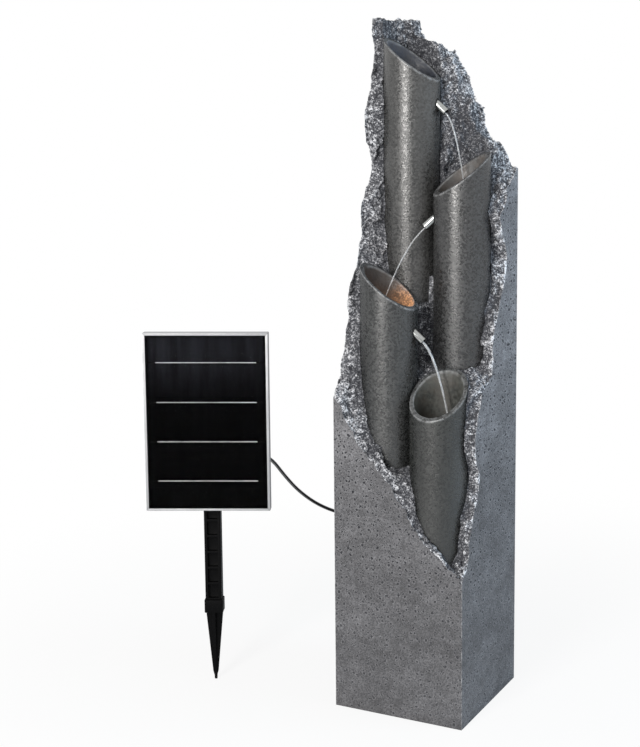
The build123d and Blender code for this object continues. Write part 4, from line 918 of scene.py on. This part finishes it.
cableExit = fromSolar(0.050, 0.004, 0.352)
cableSpan = [cableExit, fromSolar(0.067, 0.004, 0.352), (-0.236, -0.048, 0.342), (-0.224, -0.030, 0.312),
             (-0.209, -0.012, 0.284), (-0.187, 0.014, 0.257), (-0.159, 0.046, 0.238), (-0.133, 0.079, 0.230),
             (-0.117, 0.103, 0.225), (-0.101, 0.117, 0.211), (-0.088, 0.114, 0.187), (-0.080, 0.107, 0.162),
             (-0.078, 0.1048, 0.143), (-0.078, 0.1048, 0.107), (-0.0786, 0.1056, 0.068),
             (-0.076, 0.108, 0.036), (-0.066, 0.1105, 0.013), (-0.0452, 0.1125, 0.0027),
             (-0.0252, 0.1125, 0.0027)]
cableTail = [(-0.0252, 0.1875, 0.0198), (-0.0452, 0.1875, 0.0198), (-0.062, 0.180, 0.031),
             (-0.068, 0.172, 0.058), (-0.063, 0.166, 0.094), (-0.060, 0.161, 0.124), (-0.058, 0.148, 0.144),
             (-0.058, 0.128, 0.150), (-0.058, 0.112, 0.150)]


def coilCrossings():
    # where each half turn of the coil crosses its middle line, layer on layer: place along it and height
    crossings = []
    side, last = -1, 2 * cable["turns"] - 1
    for layer in range(cable["layers"]):
        inward = layer % 2 == 0
        for step in range(last + 1):
            drawnIn = step if inward else last - step
            if step == 0 and layer > 0:
                drawnIn += -cable["wider"] if inward else cable["wider"]
            if step == last and layer < cable["layers"] - 1:
                drawnIn += cable["wider"] if inward else -cable["wider"]
            reach = cable["coilRadius"] - drawnIn * cable["pitch"] / 2
            crossings.append((side * reach, cable["floor"] + layer * cable["pitch"]))
            side = -side
    return crossings


def coilPoints():
    # half rounds from crossing to crossing
    points = []
    way = 1
    middleX, middleY = cable["coilPlace"]
    crossings = coilCrossings()
    for (start, low), (end, high) in zip(crossings, crossings[1:]):
        reach = math.hypot(start - end, low - high) / 2
        for step in range(cable["halfTurnPoints"]):
            turn = math.pi * (step + 0.5) / cable["halfTurnPoints"]
            share = (1 - math.cos(turn)) / 2
            points.append((middleX + way * reach * math.sin(turn), middleY + start + (end - start) * share,
                           low + (high - low) * share))
        way = -way
    return points


def makeCableSkin():
    material, tree, shader = newMaterial("cable_rubber")
    grain = useGroup(tree, grainEffect, Vector=objectPoint(tree), Scale=1500.0, Contrast=0.4)
    setInputs(tree, shader, {
        "Base Color": scaled(tree, cable["tint"], ramp(tree, grain["Value"], 0.0, 1.0, 0.8, 1.2)),
        "Roughness": ramp(tree, grain["Value"], 0.0, 1.0, 0.07, 0.12),
        "Specular IOR Level": 1.0, "Coat Weight": 1.0})
    setBump(tree, shader, grain["Height"], 0.00002)
    return material


def buildCable():
    curve = newCurve("solar_cable", cable["diameter"] / 2, cable["around"], cable["along"], makeCableSkin())
    addSpline(curve, cableSpan + coilPoints() + cableTail)
    piece = addObject("solar_cable", curve)
    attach(piece, "root")
    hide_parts("solar_cable_span", "solar_cable_coil", "solar_cable_tail")


buildCable()
print("cable laid")


# the cells: black, paler towards the panel's top as a painted reflection, with fine printed fingers
cells = {"tint": (0.0013, 0.0013, 0.0016), "fingerTint": colour(0.009, 0.009, 0.010), "fingerPitch": 0.0021,
         "fingers": 0.25, "paintedReflection": (0.42, 0.53, 1.0, 10.0), "sheen": 0.02}


def makeCells():
    material, tree, shader = newMaterial("solar_cell_black")
    apart = separated(tree, objectPoint(tree, -solar["turn"]))
    line = calc(tree, "PINGPONG", multiply(tree, apart[0], 1 / cells["fingerPitch"]), 0.5)
    finger = ramp(tree, line, 0.0, 0.13, 1.0, 0.0)
    uneven = noiseValue(tree, objectPoint(tree, -solar["turn"], (90.0, 90.0, 9.0)), 1.0, 3.0)
    # painted reflection: the cells up to ten times paler towards the panel's top
    base = scaled(tree, cells["tint"], ramp(tree, apart[2], *cells["paintedReflection"]),
                  ramp(tree, uneven, 0.3, 0.7, 0.6, 1.5))
    setInputs(tree, shader, {
        "Base Color": mixColour(tree, multiply(tree, finger, cells["fingers"]), base, cells["fingerTint"]),
        "Roughness": ramp(tree, finger, 0.0, 1.0, 0.4, 0.3), "Specular IOR Level": cells["sheen"]})
    return material


def makeGlass():
    material, tree, shader = newMaterial("panel_clear_glass")
    smear = noiseValue(tree, objectPoint(tree), 30.0, 3.0)
    setInputs(tree, shader, {"Base Color": colour(0.98, 0.99, 0.99), "IOR": 1.03, "Transmission Weight": 1.0,
                             "Roughness": ramp(tree, smear, 0.3, 0.7, 0.03, 0.06)})
    return material


def makeLens():
    material, tree, shader = newMaterial("lamp_warm_lens")
    frost = noiseValue(tree, objectPoint(tree), 500.0, 2.0)
    setInputs(tree, shader, {
        "Base Color": colour(0.8, 0.6, 0.4), "Emission Strength": 3.0,
        "Emission Color": scaled(tree, (1.0, 0.5, 0.2), ramp(tree, frost, 0.2, 0.8, 0.7, 1.0))})
    return material


# the rails are silver along their outer edge and black beside the glass
rail = {"nodes": ("panel_side_rails", "panel_end_rails"), "tint": (0.45, 0.455, 0.465), "rough": 0.6,
        "silver": 0.0031, "blur": 0.0005, "dark": colour(0.002, 0.002, 0.002), "sheen": 0.03}


def makeRail(name, stretch):
    material = drawnMetal(name, rail["tint"], rail["rough"], stretch, -solar["turn"], 0.000003, 0.08)
    tree = material.node_tree
    shader = tree.nodes["Principled BSDF"]
    way = heading(solar["turn"])
    spots = [v.co for part in rail["nodes"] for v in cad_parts[part].data.vertices]
    left, right = min(spot.dot(way) for spot in spots), max(spot.dot(way) for spot in spots)
    low, high = min(spot.z for spot in spots), max(spot.z for spot in spots)
    apart = separated(tree, objectPoint(tree, -solar["turn"]))
    edges = [calc(tree, "SUBTRACT", apart[0], left), calc(tree, "SUBTRACT", right, apart[0]),
             calc(tree, "SUBTRACT", apart[2], low), calc(tree, "SUBTRACT", high, apart[2])]
    near = calc(tree, "MINIMUM", calc(tree, "MINIMUM", *edges[:2]), calc(tree, "MINIMUM", *edges[2:]))
    band = ramp(tree, near, rail["silver"], rail["silver"] + rail["blur"])
    silver = shader.inputs["Base Color"].links[0].from_socket
    setInputs(tree, shader, {
        "Base Color": mixColour(tree, band, silver, rail["dark"]),
        "Metallic": calc(tree, "SUBTRACT", 1.0, band), "Specular IOR Level": rail["sheen"]})
    return material


ribbonSilver = drawnMetal("ribbon_tinned", (0.8, 0.8, 0.8), 0.3, (60.0, 800.0, 800.0), -solar["turn"])

# the finish of each part that is carried over, and what it is given to
finishes = [
    (moulded("base_black_plastic", (0.02, 0.02, 0.021), 0.5, sheen=0.25),
     ["base_plate", "lead_junction_box", "reservoir_tub", "rear_door"]),
    (drawnMetal("screw_plated_steel", (0.6, 0.6, 0.6), 0.3, (400.0, 400.0, 400.0)),
     ["base_screws", "clip_screw", "bracket_screws", "hinge_bolt", "cover_screws"]),
    (moulded("cup_floor_grey", (0.05, 0.05, 0.052), 0.45), ["cup_floors"]),
    (brightSteel, ["spout_1", "spout_2", "spout_3"]),
    (blackRubber, ["spout_grommets", "suction_feet", "door_seal"]),
    (moulded("pump_black_plastic", (0.018, 0.018, 0.02), 0.4),
     ["inlet_fitting", "drain_fitting", "pump_body", "impeller_cover", "intake_cover", "flow_dial"]),
    (moulded("hose_clear_grey", (0.32, 0.33, 0.33), 0.3), ["riser_hose", "drain_hose"]),
    (moulded("lamp_black_housing", (0.02, 0.02, 0.02), 0.35), ["cup_lights"]),
    (makeLens(), ["light_lenses"]),
    (moulded("lead_black", (0.014, 0.014, 0.015), 0.4, 1500.0), ["light_leads", "inner_leads"]),
    (moulded("impeller_white_plastic", (0.66, 0.66, 0.67), 0.35, tone=0.05), ["impeller"]),
    (moulded("shaft_white_ceramic", (0.7, 0.69, 0.66), 0.2, 1500.0, 0.00001, 0.03), ["impeller_shaft"]),
    (moulded("foam_black", (0.03, 0.03, 0.032), 0.95, 420.0, 0.0014, 0.5), ["filter_foam"]),
    (makeCells(), ["solar_cells"]),
    (ribbonSilver, ["cell_ribbons"]),
    (makeGlass(), ["panel_glass"]),
    (moulded("backsheet_black", (0.003, 0.003, 0.003), 0.5, 300.0, 0.00003, 0.04, sheen=0.03),
     ["panel_backsheet"]),
    (makeRail("panel_silver", (500.0, 500.0, 30.0)), ["panel_side_rails", "panel_corner_keys"]),
    (makeRail("panel_silver_ends", (30.0, 500.0, 500.0)), ["panel_end_rails"]),
    (moulded("battery_blue_sleeve", (0.03, 0.1, 0.32), 0.3, 600.0, 0.00002, 0.05), ["battery_cells"]),
    (moulded("board_green", (0.02, 0.12, 0.04), 0.35, 260.0, 0.00003, 0.25), ["control_board"]),
    (moulded("button_grey_rubber", (0.12, 0.12, 0.12), 0.6, 800.0), ["power_button"]),
    (moulded("stake_black_plastic", (0.003, 0.003, 0.0033), 0.45, 1100.0, 0.00007, sheen=0.06),
     ["column_gland", "solar_gland", "cable_clip", "stake_pole", "ground_spike", "tilt_knob",
      "control_box", "control_box_cover", "panel_bracket", "panel_junction_box"])]
for material, names in finishes:
    for name in names:
        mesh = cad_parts[name].data
        mesh.materials.clear()
        mesh.materials.append(material)
print("finishes set")


# softly rounded copies of the moulded parts that show: node, width of the rounding, body and slot
rounded = [("stake_pole", 0.0009, "root", "stake_plastic"),
           ("ground_spike", 0.0008, "root", "stake_plastic"),
           ("control_box", 0.0007, "root", "stake_plastic"),
           ("control_box_cover", 0.0008, "root", "stake_plastic"),
           ("tilt_knob", 0.0012, "tilt_knob", "stake_plastic"),
           ("panel_bracket", 0.0006, "panel", "stake_plastic"),
           ("panel_side_rails", 0.0005, "panel", "panel_frame"),
           ("panel_end_rails", 0.0005, "panel", "panel_frame"),
           ("cable_clip", 0.0004, "root", "stake_plastic"),
           ("rear_door", 0.0005, "rear_door", "base_plastic")]
rounding = {"weld": 0.000002, "flatDegrees": 1, "sharpDegrees": 35, "segments": 2}
ribbonReach = 0.9  # the printed lines stop short of the cells' ends


def buildRounded(name, width, body):
    flat, sharp = math.radians(rounding["flatDegrees"]), math.radians(rounding["sharpDegrees"])
    bm = copyNodes([name], rounding["weld"])
    bmesh.ops.dissolve_limit(bm, angle_limit=flat, verts=bm.verts, edges=bm.edges)
    edges = [e for e in bm.edges if e.is_manifold and e.calc_face_angle(0) > sharp]
    bmesh.ops.bevel(bm, geom=edges, offset=width, segments=rounding["segments"], profile=0.5, affect="EDGES",
                    material=-1, clamp_overlap=True)
    bm.normal_update()
    markSharp(bm)
    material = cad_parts[name].data.materials[0]
    addPiece(name + "_moulded", bm, [material], body=body, replaces=(name,))


def buildRibbons():
    bm = copyNodes(["cell_ribbons"], rounding["weld"])
    across = heading(solar["turn"])
    middle = Vector((*solar["place"], 0))
    for v in bm.verts:
        v.co -= across * ((v.co - middle).dot(across) * (1 - ribbonReach))
    addPiece("cell_ribbons_printed", bm, [ribbonSilver], body="panel",
             replaces=("cell_ribbons",), smooth=False)


for name, width, body, slot in rounded:
    buildRounded(name, width, body)
buildRibbons()
print("moulded parts rounded")


# studio: pale floor, white surroundings, a tall soft lamp in front, a cooler one on the right and a faint
# warm one in the third cup
studio = {"sky": colour(0.96, 0.98, 1.0), "ambient": 0.36, "floor": colour(0.9, 0.9, 0.9), "floorSize": 30.0,
          # two distances from the middle, and how white the floor is there
          "floorGlow": (0.25, 1.2, 0.88, 1.0),
          "lamps": [{"name": "front", "place": (-0.15, -1.9, 1.22), "aim": (-0.02, 0, 0.95),
                     "size": (0.5, 1.4), "power": 36.0, "tint": (1.0, 0.975, 0.945)},
                    {"name": "right", "place": (1.9, 0.35, 1.1), "aim": (0, 0, 0.5), "size": (1.0, 1.4),
                     "power": 27.5, "tint": (0.68, 0.85, 1.0), "mirrored": False},
                    {"name": "cupGlow", "place": (-0.030, -0.030, 0.575), "aim": (-0.06, -0.0385, 0.6),
                     "size": (0.01, 0.01), "power": 0.006, "tint": (1.0, 0.5, 0.2)}]}
white = {"Color": colour(1.0, 1.0, 1.0), "Strength": 1.0}


def makeSurroundings():
    # the object sees a soft sky, and the camera, metal and glass see plain white
    world = bpy.data.worlds.new("studio")
    scene.world = world
    world.use_nodes = True
    tree = world.node_tree
    soft = tree.nodes["Background"]
    setInputs(tree, soft, {"Color": studio["sky"], "Strength": studio["ambient"]})
    path = addNode(tree, "LightPath").outputs
    seen = calc(tree, "MAXIMUM", path["Is Camera Ray"], path["Is Glossy Ray"])
    seen = calc(tree, "MAXIMUM", seen, path["Is Transmission Ray"])
    plain = addNode(tree, "Background", white)
    mixed = addNode(tree, "MixShader", {0: seen, 1: soft.outputs[0], 2: plain.outputs[0]})
    tree.links.new(mixed.outputs[0], tree.nodes["World Output"].inputs[0])


def makeFloor():
    bm = bmesh.new()
    bmesh.ops.create_grid(bm, x_segments=4, y_segments=4, size=studio["floorSize"] / 2)
    mesh = bpy.data.meshes.new("floor")
    bm.to_mesh(mesh)
    bm.free()
    addObject("floor", mesh)
    material, tree, shader = newMaterial("pale_floor")
    setInputs(tree, shader, {"Base Color": studio["floor"], "Roughness": 0.9})
    away = addNode(tree, "VectorMath", {0: objectPoint(tree)}, operation="LENGTH").outputs["Value"]
    path = addNode(tree, "LightPath").outputs
    share = multiply(tree, path["Is Camera Ray"], ramp(tree, away, *studio["floorGlow"]))
    plain = addNode(tree, "Emission", white)
    mixed = addNode(tree, "MixShader", {0: share, 1: shader.outputs[0], 2: plain.outputs[0]})
    tree.links.new(mixed.outputs[0], tree.nodes["Material Output"].inputs[0])
    mesh.materials.append(material)


def addLamp(lamp):
    data = bpy.data.lights.new(lamp["name"], "AREA")
    data.shape = "RECTANGLE"
    data.size, data.size_y = lamp["size"]
    data.energy = lamp["power"]
    data.color = lamp["tint"]
    light = addObject(lamp["name"], data)
    light.location = lamp["place"]
    light.visible_glossy = lamp.get("mirrored", True)
    way = Vector(lamp["aim"]) - Vector(lamp["place"])
    light.rotation_euler = way.to_track_quat("-Z", "Y").to_euler()


makeSurroundings()
makeFloor()
for lamp in studio["lamps"]:
    addLamp(lamp)
print("studio lit")
